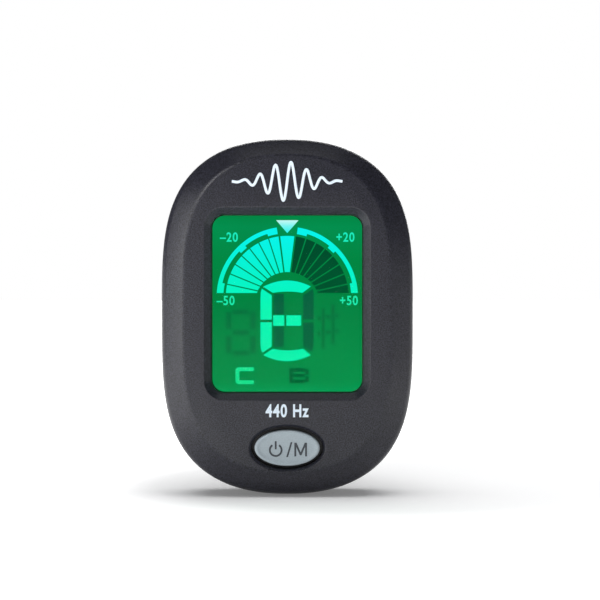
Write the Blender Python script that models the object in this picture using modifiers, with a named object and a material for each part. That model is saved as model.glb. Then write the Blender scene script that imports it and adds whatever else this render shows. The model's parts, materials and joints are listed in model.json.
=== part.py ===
"""Clip-on instrument tuner: a display head on a ball joint, carried by a sprung clip.

The origin is the middle of the front jaw pad's gripping face. +X is to the display's right,
+Y points from the display to the clip and +Z is up. Along Y, places are given as depths
behind the casing's front face, so that the head and the clip share one measure.
"""

from math import asin, copysign, cos, pi, sin, sqrt, tau

import bmesh
import bpy
from mathutils import Matrix, Vector

MM = 0.001

# Casing
HEAD_WIDTH = 38.2 * MM
HEAD_HEIGHT = 54.0 * MM
OUTLINE_POWERS = (2.27, 3.62)  # across and up: exponents of the casing's superellipse
FACE_MARGIN_SIDE = 3.4 * MM  # from the outline to the flat face, across the sloping edge
FACE_MARGIN_TOP = 2.6 * MM
FACE_MARGIN_BOTTOM = 3.5 * MM
EDGE_DEPTH = 2.0 * MM  # how far the sloping edge falls back
EDGE_ROUND = 0.5 * MM  # rounding between the slope and the side
BACK_ROUND = 2.6 * MM
FRONT_WALL = 1.5 * MM
SIDE_WALL = 1.5 * MM
REAR_WALL = 1.9 * MM
SEAM = 0.15 * MM  # gap between the two shells
LIP_THICK = 0.7 * MM
LIP_REACH = 0.8 * MM

# Display
WINDOW_BORDER = 7.65 * MM  # from the outline's side to the window's clear opening
WINDOW_TOP = 11.61 * MM  # from the outline's top to the opening
WINDOW_BOTTOM = 15.49 * MM  # and from its bottom
WINDOW_RADIUS = 2.0 * MM
FRAME_SLOPE_WIDTH = 1.05 * MM
FRAME_SLOPE_DEPTH = 1.0 * MM
LENS_THICK = 0.8 * MM
LENS_LAP = 0.85 * MM  # lens beyond the opening, each side
GLASS_THICK = 0.6 * MM
GLASS_LAP = 1.3 * MM
GLASS_LEDGE = 2.0 * MM  # contact ledge under the front glass
FILM_THICK = 0.2 * MM
FILM_LAP = 0.45 * MM
GUIDE_THICK = 1.4 * MM
FRAME_WALL = 0.6 * MM
FRAME_CORNER = 1.2 * MM
LED_SIZE = (3.0 * MM, 1.4 * MM, 1.0 * MM)
LED_SPREAD = 6.0 * MM
BOND = 0.1 * MM  # layer of glue or air between bonded sheets

# Circuit
BOARD_THICK = 1.0 * MM
BOARD_GAP = 0.35 * MM
CHIP_SIDE = 5.0 * MM
CHIP_THICK = 0.9 * MM
CRYSTAL_RADIUS = 0.9 * MM
CRYSTAL_LENGTH = 5.6 * MM
CAPACITOR_SIZE = (1.6 * MM, 0.8 * MM, 0.8 * MM)
PIEZO_RADIUS = 3.2 * MM

# Power and mode button
BUTTON_WIDTH = 9.8 * MM
BUTTON_HEIGHT = 5.34 * MM
BUTTON_MARGIN = 1.07 * MM  # from the flat face's lower edge to the button
BUTTON_STEM_RADIUS = 1.0 * MM
BUTTON_GAP = 0.55 * MM
BUTTON_PROUD = 0.15 * MM
BUTTON_TRAVEL = 0.4 * MM
WELL_SLOPE = 0.35 * MM
FLANGE_LAP = 0.45 * MM
FLANGE_THICK = 0.75 * MM
POST_RADIUS = 1.4 * MM
SWITCH_SIDE = 4.6 * MM
PLUNGER_RADIUS = 1.1 * MM
PLUNGER_LENGTH = 1.1 * MM

# Battery: a 20 mm coin cell
COIN_RADIUS = 10.0 * MM
COIN_THICK = 3.2 * MM
COIN_MARGIN = 4.0 * MM  # from the outline's bottom to the coin
POCKET_WALL = 0.8 * MM
POCKET_GAP = 0.3 * MM
CONTACT_THICK = 0.25 * MM
CONTACT_WIDTH = 4.0 * MM
DOOR_GAP = 0.15 * MM
DOOR_TOP_MARGIN = 1.3 * MM  # door beyond the coin's top
TONGUE_REACH = 0.65 * MM
TONGUE_THICK = 0.5 * MM
DOOR_TRAVEL = 26.0 * MM

# Case screws
SCREW_RADIUS = 0.7 * MM
SCREW_HEAD_RADIUS = 1.55 * MM
SCREW_HEAD_THICK = 0.9 * MM
SCREW_LENGTH = 8.6 * MM
BOSS_RADIUS = 1.9 * MM
DRIVE_WIDTH = 0.45 * MM  # arm of the cross recess in a screw head
DRIVE_DEPTH = 0.45 * MM

# Ball joint
BALL_RADIUS = 4.5 * MM
BALL_LIFT = 8.0 * MM  # ball centre above the casing's centre
BALL_GAP = 0.18 * MM
CUP_WALL = 1.7 * MM
CUP_FLANGE = 0.6 * MM
COLLAR_WALL = 1.75 * MM
COLLAR_PROUD = 1.9 * MM
RETAINER_THICK = 0.8 * MM
RETAINER_EAR_WIDTH = 3.6 * MM
RETAINER_SCREW = {"shank": 0.55 * MM, "hole": 0.75 * MM, "head": 1.2 * MM, "length": 1.8 * MM}
RETAINER_HEAD_THICK = 0.7 * MM
STEM_RADIUS = 2.4 * MM
STANDOFF = 10.0 * MM  # from the casing's back to the clip
STEM_FLANGE_RADIUS = 4.2 * MM
STEM_FLANGE_THICK = 1.5 * MM
STUD_HOLE_LENGTH = 4.5 * MM
STUD_HEAD_RADIUS = 1.9 * MM
STUD_HEAD_THICK = 1.0 * MM
STUD_HEAD_SINK = 1.2 * MM

# Clip
ARM_WIDTH = 15.0 * MM
ARM_THICK = 3.2 * MM
LEVER_THICK = 2.8 * MM
JAW_LENGTH = 25.0 * MM  # from the ball's height down to the jaw tips
TAIL_LENGTH = 17.0 * MM  # and up to the thumb ends
TIP_RADIUS = 3.0 * MM
EDGE_SOFT = 0.8 * MM  # rounding along the arms
HINGE_LIFT = 4.0 * MM
HINGE_REACH = 3.8 * MM  # hinge axis behind the front arm
EAR_RADIUS = 2.4 * MM
EAR_THICK = 1.6 * MM
EAR_INNER = 3.4 * MM  # half the space for the spring
EAR_ROOT = 1.0 * MM  # how far an ear runs into its arm
PIN_RADIUS = 1.0 * MM
PIN_GAP = 0.08 * MM
LEVER_RISE = 5.4 * MM  # how far the lever's tail stands off from its jaw
LEVER_BEND_START = -10.0 * MM
PAD_WIDTH = 12.4 * MM
PAD_HEIGHT = 11.0 * MM
PAD_PROUD = 1.5 * MM
PAD_POCKET = 0.4 * MM
PAD_GAP = 0.15 * MM
JAW_GAP = 2.4 * MM  # between the closed pads
GRIP_RIBS = 5
GRIP_PITCH = 1.5 * MM
GRIP_PROUD = 0.35 * MM

# Torsion spring
WIRE_RADIUS = 0.4 * MM
COIL_RADIUS = 2.3 * MM
COIL_TURNS = 4.5
COIL_HALF_LENGTH = 2.3 * MM
SPRING_LEG = 9.0 * MM

CLEAR = 0.15 * MM  # ordinary gap between neighbours
THROUGH = 1.0 * MM  # how far a cutter runs past what it cuts

OUTLINE_STEPS = 48
OVAL_STEPS = 32
ROUND_STEPS = 20
CORNER_STEPS = 4

# Places that follow from the sizes above
HALF_WIDTH = HEAD_WIDTH / 2
HALF_HEIGHT = HEAD_HEIGHT / 2
WINDOW_WIDTH = HEAD_WIDTH - 2 * WINDOW_BORDER
WINDOW_HEIGHT = HEAD_HEIGHT - WINDOW_TOP - WINDOW_BOTTOM
WINDOW_LIFT = (WINDOW_BOTTOM - WINDOW_TOP) / 2  # window centre above the casing's centre
BUTTON_DROP = HALF_HEIGHT - FACE_MARGIN_BOTTOM - BUTTON_MARGIN - BUTTON_HEIGHT / 2
COIN_DROP = HALF_HEIGHT - COIN_MARGIN - COIN_RADIUS
LENS_DEPTH = FRONT_WALL + CLEAR
FRONT_FILM_DEPTH = LENS_DEPTH + LENS_THICK + BOND
FRONT_GLASS_DEPTH = FRONT_FILM_DEPTH + FILM_THICK + BOND
REAR_GLASS_DEPTH = FRONT_GLASS_DEPTH + GLASS_THICK + BOND
REAR_FILM_DEPTH = REAR_GLASS_DEPTH + GLASS_THICK + BOND
GUIDE_DEPTH = REAR_FILM_DEPTH + FILM_THICK + BOND
REFLECTOR_DEPTH = GUIDE_DEPTH + GUIDE_THICK + BOND
BOARD_DEPTH = REFLECTOR_DEPTH + FILM_THICK + BOARD_GAP
BOARD_BACK = BOARD_DEPTH + BOARD_THICK
COIN_DEPTH = BOARD_BACK + 2 * BOND + CONTACT_THICK
DOOR_DEPTH = COIN_DEPTH + COIN_THICK + BOND + CONTACT_THICK + DOOR_GAP
HEAD_DEPTH = DOOR_DEPTH - DOOR_GAP + REAR_WALL
CAVITY_DEPTH = HEAD_DEPTH - REAR_WALL
PARTING_DEPTH = BOARD_DEPTH - 0.3 * MM

GLASS_WIDTH = WINDOW_WIDTH + 2 * GLASS_LAP
GLASS_HEIGHT = WINDOW_HEIGHT + 2 * GLASS_LAP
GUIDE_HEIGHT = GLASS_HEIGHT - 1.0 * MM
FRAME_TOP = WINDOW_LIFT + GLASS_HEIGHT / 2 + LED_SIZE[2] + 2 * CLEAR + FRAME_WALL
FRAME_BOTTOM = WINDOW_LIFT - GLASS_HEIGHT / 2 - GLASS_LEDGE - 2 * CLEAR - FRAME_WALL
FRAME_WIDTH = GLASS_WIDTH + 2 * (2 * CLEAR + FRAME_WALL)
SCREW_WELL_RADIUS = SCREW_HEAD_RADIUS + 0.2 * MM
SCREW_SEAT_DEPTH = HEAD_DEPTH - SCREW_HEAD_THICK - 0.8 * MM
DOOR_HALF_WIDTH = COIN_RADIUS + 0.25 * MM
GROOVE_EDGE = DOOR_HALF_WIDTH + TONGUE_REACH + DOOR_GAP
DOOR_TOP = -COIN_DROP + COIN_RADIUS + DOOR_TOP_MARGIN
BOSS_PLACES = [
    (side * x, z)
    for x, z in (
        (HEAD_WIDTH / 4, FRAME_TOP + 0.3 * MM + BOSS_RADIUS),
        (GROOVE_EDGE + 0.55 * MM + SCREW_WELL_RADIUS, FRAME_BOTTOM - 0.4 * MM - BOSS_RADIUS),
    )
    for side in (-1, 1)
]

BUTTON_WELL = (BUTTON_WIDTH / 2 + BUTTON_GAP, BUTTON_HEIGHT / 2 + BUTTON_GAP)
FLANGE_DEPTH = FRONT_WALL + 1.6 * CLEAR
PLUNGER_DEPTH = FLANGE_DEPTH + FLANGE_THICK + 1.4 * MM
SWITCH_DEPTH = PLUNGER_DEPTH + BUTTON_TRAVEL + BOND

BALL_DEPTH = HEAD_DEPTH
CUP_RADIUS = BALL_RADIUS + BALL_GAP + CUP_WALL
CUP_FRONT = BALL_DEPTH - 0.6 * BALL_RADIUS
CUP_BACK = BALL_DEPTH + COLLAR_PROUD + 0.2 * MM
COLLAR_BORE = CUP_RADIUS + CLEAR
COLLAR_RADIUS = COLLAR_BORE + COLLAR_WALL
RETAINER_EAR = COLLAR_RADIUS + 0.8 * MM

ARM_DEPTH = HEAD_DEPTH + STANDOFF
ARM_BACK = ARM_DEPTH + ARM_THICK
PAD_FACE_DEPTH = ARM_BACK + PAD_PROUD
LEVER_JAW_DEPTH = PAD_FACE_DEPTH + JAW_GAP + PAD_PROUD
HINGE_DEPTH = ARM_BACK + HINGE_REACH
PAD_DROP = JAW_LENGTH - PAD_HEIGHT / 2 - 1.5 * MM
LEVER_EAR_INNER = EAR_INNER + EAR_THICK + 0.2 * MM

COLOURS = {  # red, green, blue, roughness, metallic
    "casing": (0.045, 0.045, 0.052, 0.5, 0.0),
    "key_grey": (0.33, 0.37, 0.40, 0.45, 0.0),
    "key_black": (0.01, 0.01, 0.012, 0.5, 0.0),
    "clear_window": (0.75, 0.85, 0.8, 0.05, 0.0),
    "display_glass": (0.02, 0.28, 0.09, 0.1, 0.0),
    "film": (0.1, 0.2, 0.12, 0.3, 0.0),
    "light_guide": (0.7, 0.9, 0.75, 0.15, 0.0),
    "white_plastic": (0.75, 0.75, 0.72, 0.5, 0.0),
    "led": (0.85, 0.85, 0.6, 0.3, 0.0),
    "board": (0.02, 0.16, 0.05, 0.4, 0.0),
    "chip": (0.02, 0.02, 0.02, 0.5, 0.0),
    "tin": (0.6, 0.6, 0.6, 0.3, 1.0),
    "steel": (0.55, 0.55, 0.57, 0.25, 1.0),
    "brass": (0.75, 0.55, 0.22, 0.3, 1.0),
    "ceramic": (0.8, 0.78, 0.7, 0.5, 0.0),
    "elastomer": (0.25, 0.25, 0.28, 0.7, 0.0),
    "rubber": (0.03, 0.03, 0.033, 0.8, 0.0),
    "wire_red": (0.5, 0.03, 0.02, 0.5, 0.0),
    "wire_black": (0.02, 0.02, 0.02, 0.5, 0.0),
    "capacitor": (0.35, 0.25, 0.15, 0.4, 0.0),
}


# ---- scene and materials

def clear_scene():
    for old in list(bpy.data.objects):
        bpy.data.objects.remove(old, do_unlink=True)


def new_collection(name):
    made = bpy.data.collections.new(name)
    bpy.context.scene.collection.children.link(made)
    return made


def material(name):
    made = bpy.data.materials.get(name)
    if made:
        return made
    red, green, blue, roughness, metallic = COLOURS[name]
    made = bpy.data.materials.new(name)
    made.use_nodes = True
    shader = made.node_tree.nodes["Principled BSDF"]
    shader.inputs["Base Color"].default_value = (red, green, blue, 1)
    shader.inputs["Roughness"].default_value = roughness
    shader.inputs["Metallic"].default_value = metallic
    return made


def new_frame(name, parent, x, depth, z):
    """An empty, placed in its parent's frame."""
    frame = bpy.data.objects.new(name, None)
    parts.objects.link(frame)
    frame.parent = parent
    frame.location = (x, depth, z)
    return frame


def add(name, bm, colour, frame, at=(0, 0, 0)):
    """Turns a bmesh into a named part at a place in a frame."""
    mesh = bpy.data.meshes.new(name)
    bm.to_mesh(mesh)
    bm.free()
    mesh.shade_smooth()
    mesh.set_sharp_from_angle(angle=0.6)
    mesh.materials.append(material(colour))
    made = bpy.data.objects.new(name, mesh)
    parts.objects.link(made)
    made.parent = frame
    made.location = at
    return made


def make_helper(shape):
    """Sets a shape aside, to cut or join another and not to be a part itself."""
    parts.objects.unlink(shape)
    helpers.objects.link(shape)
    shape.hide_render = True
    shape.display_type = "WIRE"
    return shape


def helper(name, bm, frame, at=(0, 0, 0)):
    return make_helper(add(name, bm, "casing", frame, at))


def combine(target, operation, *others):
    for other in others:
        boolean = target.modifiers.new(operation.lower(), "BOOLEAN")
        boolean.operation = operation
        boolean.solver = "EXACT"
        boolean.object = other


def cut(target, *others):
    combine(target, "DIFFERENCE", *others)


def join(target, *others):
    combine(target, "UNION", *others)


# ---- basic shapes, all centred on their object's origin

def block(width, depth, height, corner=0.0):
    """A box whose four edges along Y may be rounded."""
    bm = bmesh.new()
    bmesh.ops.create_cube(bm, size=1)
    bmesh.ops.scale(bm, vec=(width, depth, height), verts=bm.verts)
    if corner:
        along = [e for e in bm.edges if abs(e.verts[0].co.y - e.verts[1].co.y) > depth / 2]
        bmesh.ops.bevel(bm, geom=along, offset=corner, segments=CORNER_STEPS, affect="EDGES", profile=0.5)
    return bm


def rod(radius, length, axis="Y", steps=ROUND_STEPS):
    bm = bmesh.new()
    bmesh.ops.create_cone(
        bm, cap_ends=True, segments=steps, radius1=radius, radius2=radius, depth=length
    )
    if axis == "Y":
        bmesh.ops.rotate(bm, verts=bm.verts, matrix=Matrix.Rotation(-pi / 2, 3, "X"))
    elif axis == "X":
        bmesh.ops.rotate(bm, verts=bm.verts, matrix=Matrix.Rotation(pi / 2, 3, "Y"))
    return bm


def superellipse(half_width, half_height, depth, lift=0.0):
    """The casing's kind of outline, as a ring of points in the plane at that depth."""
    ring = []
    for i in range(OUTLINE_STEPS):
        c, s = cos(tau * i / OUTLINE_STEPS), sin(tau * i / OUTLINE_STEPS)
        x = half_width * copysign(abs(c) ** (2 / OUTLINE_POWERS[0]), c)
        z = half_height * copysign(abs(s) ** (2 / OUTLINE_POWERS[1]), s)
        ring.append(Vector((x, depth, z + lift)))
    return ring


def ellipse(half_width, half_height, depth):
    angles = [tau * i / OVAL_STEPS for i in range(OVAL_STEPS)]
    return [Vector((half_width * cos(a), depth, half_height * sin(a))) for a in angles]


def rounded_rectangle(width, height, radius, depth, steps=CORNER_STEPS):
    ring = []
    for corner in range(4):
        start = corner * pi / 2
        side_x = 1 if corner in (0, 3) else -1
        side_z = 1 if corner < 2 else -1
        for i in range(steps + 1):
            angle = start + pi / 2 * i / steps
            x = side_x * (width / 2 - radius) + radius * cos(angle)
            z = side_z * (height / 2 - radius) + radius * sin(angle)
            ring.append(Vector((x, depth, z)))
    return ring


def loft(rings):
    """A closed solid through rings of equal count, the first and the last capped."""
    bm = bmesh.new()
    rows = [[bm.verts.new(p) for p in ring] for ring in rings]
    count = len(rows[0])
    for row, after in zip(rows, rows[1:]):
        for i in range(count):
            j = (i + 1) % count
            bm.faces.new((row[i], row[j], after[j], after[i]))
    bm.faces.new(rows[0])
    bm.faces.new(rows[-1])
    bmesh.ops.recalc_face_normals(bm, faces=bm.faces)
    return bm


def turned(name, profile, colour, frame, at, closed=False, steps=ROUND_STEPS):
    """A shape turned about Y. The profile lists (radius, depth), from the back to the front
    along its outer side; a closed one then returns along the bore."""
    mesh = bpy.data.meshes.new(name)
    edges = [(i, i + 1) for i in range(len(profile) - 1)]
    if closed:
        edges.append((len(profile) - 1, 0))
    mesh.from_pydata([(r, 0, d) for r, d in profile], edges, [])
    mesh.materials.append(material(colour))
    made = bpy.data.objects.new(name, mesh)
    parts.objects.link(made)
    made.parent = frame
    made.location = at
    made.rotation_euler = (-pi / 2, 0, 0)
    screw = made.modifiers.new("turn", "SCREW")
    screw.steps = screw.render_steps = steps
    screw.use_merge_vertices = True
    screw.merge_threshold = 0.00001
    screw.use_smooth_shade = True
    return made


def wire(name, points, radius, colour, frame):
    """A round wire along the points."""
    curve = bpy.data.curves.new(name, "CURVE")
    curve.dimensions = "3D"
    curve.bevel_depth = radius
    curve.bevel_resolution = 2
    curve.use_fill_caps = True
    spline = curve.splines.new("POLY")
    spline.points.add(len(points) - 1)
    for point, place in zip(spline.points, points):
        point.co = (*place, 1)
    curve.materials.append(material(colour))
    made = bpy.data.objects.new(name, curve)
    parts.objects.link(made)
    made.parent = frame
    return made


# ---- casing

def outline_at(inset, depth):
    return superellipse(HALF_WIDTH - inset, HALF_HEIGHT - inset, depth)


def face_ring(inset, depth):
    """The edge of the flat face, which sits a little high in the outline."""
    return superellipse(
        HALF_WIDTH - FACE_MARGIN_SIDE - inset,
        HALF_HEIGHT - (FACE_MARGIN_TOP + FACE_MARGIN_BOTTOM) / 2 - inset,
        depth,
        lift=(FACE_MARGIN_BOTTOM - FACE_MARGIN_TOP) / 2,
    )


def back_rings(inset, end, start):
    """The casing's rounded back, from start to end, inset all round."""
    return [
        outline_at(inset, start),
        outline_at(inset, end - 2.4 * MM),
        outline_at(inset + 0.17 * BACK_ROUND, end - 1.3 * MM),
        outline_at(inset + 0.5 * BACK_ROUND, end - 0.5 * MM),
        outline_at(inset + BACK_ROUND, end),
    ]


def boss_rods(name, radius, start, end, frame):
    return [
        helper(f"{name}_{i}", rod(radius, end - start), frame, (x, (start + end) / 2, z))
        for i, (x, z) in enumerate(BOSS_PLACES)
    ]


def make_front_shell(frame):
    shell = add("front_shell", loft([
        face_ring(0, 0),
        outline_at(EDGE_ROUND, EDGE_DEPTH),
        outline_at(0.2 * EDGE_ROUND, EDGE_DEPTH + 1.2 * EDGE_ROUND),
        outline_at(0, EDGE_DEPTH + 2.6 * EDGE_ROUND),
        outline_at(0, PARTING_DEPTH),
    ]), "casing", frame)
    cavity = helper("front_cavity", loft([
        face_ring(0, FRONT_WALL),
        outline_at(SIDE_WALL + EDGE_ROUND, EDGE_DEPTH + SIDE_WALL),
        outline_at(SIDE_WALL, EDGE_DEPTH + 1.5 * SIDE_WALL),
        outline_at(SIDE_WALL, PARTING_DEPTH + THROUGH),
    ]), frame)
    cut(cavity, *boss_rods("front_boss", BOSS_RADIUS, 0, BOARD_DEPTH - CLEAR, frame))
    window = helper("window_cutter", loft([
        rounded_rectangle(
            WINDOW_WIDTH + 2 * grow, WINDOW_HEIGHT + 2 * grow, WINDOW_RADIUS + grow, depth
        )
        for grow, depth in (
            (2 * FRAME_SLOPE_WIDTH, -FRAME_SLOPE_DEPTH),
            (0, FRAME_SLOPE_DEPTH),
            (0, FRONT_WALL + THROUGH),
        )
    ]), frame, (0, 0, WINDOW_LIFT))
    well_width, well_height = BUTTON_WELL
    well = helper("button_well", loft([
        ellipse(well_width + grow, well_height + grow, depth)
        for grow, depth in (
            (2 * WELL_SLOPE, -WELL_SLOPE),
            (0, WELL_SLOPE),
            (0, FRONT_WALL + THROUGH),
        )
    ]), frame, (0, 0, -BUTTON_DROP))
    pilot_start = SCREW_SEAT_DEPTH - SCREW_LENGTH - 0.4 * MM
    pilots = boss_rods("pilot", SCREW_RADIUS + 0.12 * MM, pilot_start, HEAD_DEPTH, frame)
    cut(shell, cavity, window, well, *pilots)


def make_rear_shell(frame):
    shell = add(
        "rear_shell", loft(back_rings(0, HEAD_DEPTH, PARTING_DEPTH + SEAM)), "casing", frame
    )
    cavity = helper(
        "rear_cavity", loft(back_rings(SIDE_WALL, CAVITY_DEPTH, PARTING_DEPTH - THROUGH)), frame
    )
    pocket_radius = COIN_RADIUS + POCKET_GAP
    pocket = make_helper(turned(
        "pocket_wall",
        [
            (pocket_radius + POCKET_WALL, HEAD_DEPTH),
            (pocket_radius + POCKET_WALL, BOARD_BACK + 0.3 * MM),
            (pocket_radius, BOARD_BACK + 0.3 * MM),
            (pocket_radius, HEAD_DEPTH),
        ],
        "casing", frame, (0, 0, -COIN_DROP), closed=True, steps=36,
    ))
    notch = helper(
        "contact_notch",
        block(CONTACT_WIDTH + 1.2 * MM, HEAD_DEPTH, 4 * POCKET_WALL),
        frame, (0, HEAD_DEPTH / 2, -COIN_DROP + pocket_radius),
    )
    cut(pocket, notch)
    posts = [
        helper(f"retainer_post_{i}", rod(1.5 * MM, HEAD_DEPTH - CUP_FRONT), frame,
               (side * RETAINER_EAR, (CUP_FRONT + HEAD_DEPTH) / 2, BALL_LIFT))
        for i, side in enumerate((-1, 1))
    ]
    cut(
        cavity, pocket, *posts,
        *boss_rods("rear_boss", BOSS_RADIUS, BOARD_BACK + CLEAR, HEAD_DEPTH, frame),
    )
    lip_inset = SIDE_WALL + CLEAR
    lip = helper("shell_lip", loft([
        outline_at(lip_inset, PARTING_DEPTH - LIP_REACH),
        outline_at(lip_inset, PARTING_DEPTH + SEAM + 0.5 * MM),
        outline_at(lip_inset - 2 * CLEAR, PARTING_DEPTH + SEAM + 1.5 * MM),
    ]), frame)
    lip_bore = helper("lip_bore", loft([
        outline_at(lip_inset + LIP_THICK, PARTING_DEPTH - LIP_REACH - THROUGH),
        outline_at(lip_inset + LIP_THICK, PARTING_DEPTH + 2 * THROUGH + SEAM),
    ]), frame)
    lip_end = PARTING_DEPTH + SEAM
    cut(lip, lip_bore, *boss_rods("lip_relief", BOSS_RADIUS + 2 * CLEAR, 0, lip_end, frame))
    collar = make_helper(turned(
        "collar",
        [
            (0, BALL_DEPTH + COLLAR_PROUD),
            (COLLAR_RADIUS - 0.5 * MM, BALL_DEPTH + COLLAR_PROUD),
            (COLLAR_RADIUS, BALL_DEPTH + COLLAR_PROUD - 0.5 * MM),
            (COLLAR_RADIUS, BALL_DEPTH - 0.5 * REAR_WALL),
            (0, BALL_DEPTH - 0.5 * REAR_WALL),
        ],
        "casing", frame, (0, 0, BALL_LIFT), steps=36,
    ))
    bore = helper("collar_bore", rod(COLLAR_BORE, HEAD_DEPTH, steps=36), frame,
                  (0, HEAD_DEPTH, BALL_LIFT))
    opening = helper(
        "door_opening",
        block(2 * (DOOR_HALF_WIDTH + DOOR_GAP), 4 * REAR_WALL, HEAD_HEIGHT),
        frame, (0, CAVITY_DEPTH - DOOR_GAP + 2 * REAR_WALL, DOOR_TOP + DOOR_GAP - HALF_HEIGHT),
    )
    groove = helper(
        "door_groove",
        block(2 * GROOVE_EDGE, TONGUE_THICK + 2 * DOOR_GAP, HEAD_HEIGHT),
        frame, (0, tongue_depth(), DOOR_TOP - 1.5 * MM - HALF_HEIGHT),
    )
    wells = boss_rods("screw_well", SCREW_WELL_RADIUS, SCREW_SEAT_DEPTH, HEAD_DEPTH + THROUGH, frame)
    holes = boss_rods("screw_hole", SCREW_RADIUS + 0.25 * MM, PARTING_DEPTH, HEAD_DEPTH, frame)
    pilots = [
        helper(f"retainer_pilot_{i}", rod(0.7 * MM, 2.6 * MM), frame,
               (side * RETAINER_EAR, CUP_FRONT + 1.2 * MM, BALL_LIFT))
        for i, side in enumerate((-1, 1))
    ]
    cut(shell, cavity)
    join(shell, lip, collar)
    cut(shell, bore, opening, groove, *wells, *holes, *pilots)


def tongue_depth():
    """Middle of the door's side tongues, halfway through the rear wall."""
    return CAVITY_DEPTH + 0.5 * REAR_WALL


def make_battery_door(frame):
    door = add(
        "battery_door", loft(back_rings(0, HEAD_DEPTH, PARTING_DEPTH)), "casing", frame
    )
    plate = helper(
        "door_plate", block(2 * DOOR_HALF_WIDTH, 4 * REAR_WALL, HEAD_HEIGHT),
        frame, (0, DOOR_DEPTH + 2 * REAR_WALL, DOOR_TOP - HALF_HEIGHT),
    )
    combine(door, "INTERSECT", plate)
    tongue_top = DOOR_TOP - 1.5 * MM - DOOR_GAP
    tongue_bottom = -COIN_DROP - 0.7 * COIN_RADIUS
    tongues = helper(
        "door_tongues",
        block(2 * (DOOR_HALF_WIDTH + TONGUE_REACH), TONGUE_THICK, tongue_top - tongue_bottom),
        frame, (0, tongue_depth(), (tongue_top + tongue_bottom) / 2),
    )
    ribs = [
        helper(f"door_rib_{i}", block(9.0 * MM, 2 * GRIP_PROUD, 0.7 * MM, 0.3 * MM), frame,
               (0, HEAD_DEPTH, -COIN_DROP - 1.5 * MM - i * GRIP_PITCH))
        for i in range(4)
    ]
    join(door, tongues, *ribs)


def cross_recess(name, head_depth, frame, at):
    """Two crossed slots that cut a screw's drive."""
    x, depth, z = at
    return [
        helper(f"{name}_slot_{i}", block(w, 2 * DRIVE_DEPTH, h), frame, (x, depth + head_depth, z))
        for i, (w, h) in enumerate((
            (DRIVE_WIDTH, 3.6 * DRIVE_WIDTH), (3.6 * DRIVE_WIDTH, DRIVE_WIDTH),
        ))
    ]


def make_screw(name, frame, at, radius, length, head_radius, head_thick):
    """A pan-head screw whose head points to the back. Its place is under the head."""
    screw = turned(
        name,
        [
            (0, head_thick),
            (0.7 * head_radius, head_thick),
            (head_radius, 0.6 * head_thick),
            (head_radius, 0),
            (radius, 0),
            (radius, radius - length),
            (0.3 * radius, -length),
            (0, -length),
        ],
        "steel", frame, at, steps=16,
    )
    cut(screw, *cross_recess(name, head_thick, frame, at))
    return screw


def make_case_screws(frame):
    for i, (x, z) in enumerate(BOSS_PLACES):
        make_screw(
            f"case_screw_{i + 1}", frame, (x, SCREW_SEAT_DEPTH + BOND, z),
            SCREW_RADIUS, SCREW_LENGTH, SCREW_HEAD_RADIUS, SCREW_HEAD_THICK,
        )


# ---- display

def sheet(name, width, height, thick, depth, colour, frame, corner=0.0, z=WINDOW_LIFT):
    """A flat piece of the display stack, its front at that depth."""
    return add(name, block(width, thick, height, corner), colour, frame, (0, depth + thick / 2, z))


def make_display(frame):
    sheet(
        "window_lens", WINDOW_WIDTH + 2 * LENS_LAP, WINDOW_HEIGHT + 2 * LENS_LAP, LENS_THICK,
        LENS_DEPTH, "clear_window", frame, WINDOW_RADIUS,
    )
    film_width, film_height = WINDOW_WIDTH + 2 * FILM_LAP, WINDOW_HEIGHT + 2 * FILM_LAP
    sheet("front_polariser", film_width, film_height, FILM_THICK, FRONT_FILM_DEPTH, "film", frame)
    sheet(
        "lcd_front_glass", GLASS_WIDTH, GLASS_HEIGHT + GLASS_LEDGE, GLASS_THICK,
        FRONT_GLASS_DEPTH, "display_glass", frame, z=WINDOW_LIFT - GLASS_LEDGE / 2,
    )
    sheet("lcd_rear_glass", GLASS_WIDTH, GLASS_HEIGHT, GLASS_THICK, REAR_GLASS_DEPTH,
          "display_glass", frame)
    sheet("rear_polariser", film_width, film_height, FILM_THICK, REAR_FILM_DEPTH, "film", frame)
    sheet("light_guide", GLASS_WIDTH, GUIDE_HEIGHT, GUIDE_THICK, GUIDE_DEPTH, "light_guide", frame)
    sheet("reflector_sheet", GLASS_WIDTH, GUIDE_HEIGHT, FILM_THICK, REFLECTOR_DEPTH,
          "white_plastic", frame)
    led_width, led_depth, led_height = LED_SIZE
    for i, side in enumerate((-1, 1)):
        add(
            f"backlight_led_{i + 1}", block(led_width, led_depth, led_height), "led", frame,
            (side * LED_SPREAD, GUIDE_DEPTH + led_depth / 2,
             WINDOW_LIFT + GLASS_HEIGHT / 2 + CLEAR + led_height / 2),
        )
    make_lcd_frame(frame)
    zebra_depth = BOARD_DEPTH - REAR_GLASS_DEPTH - BOND
    add(
        "zebra_connector", block(GLASS_WIDTH - 2.0 * MM, zebra_depth, GLASS_LEDGE - 3 * CLEAR),
        "elastomer", frame,
        (0, REAR_GLASS_DEPTH + zebra_depth / 2, WINDOW_LIFT - (GLASS_HEIGHT + GLASS_LEDGE) / 2),
    )


def make_lcd_frame(frame):
    front, back = FRONT_GLASS_DEPTH + 0.25 * MM, BOARD_DEPTH - CLEAR
    middle = (FRAME_TOP + FRAME_BOTTOM) / 2
    height = FRAME_TOP - FRAME_BOTTOM
    body = add(
        "lcd_frame", block(FRAME_WIDTH, back - front, height, FRAME_CORNER), "white_plastic", frame,
        (0, (front + back) / 2, middle),
    )
    bore = helper(
        "lcd_frame_bore",
        block(FRAME_WIDTH - 2 * FRAME_WALL, back, height - 2 * FRAME_WALL),
        frame, (0, (front + back) / 2, middle),
    )
    cut(body, bore)


# ---- circuit

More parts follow.
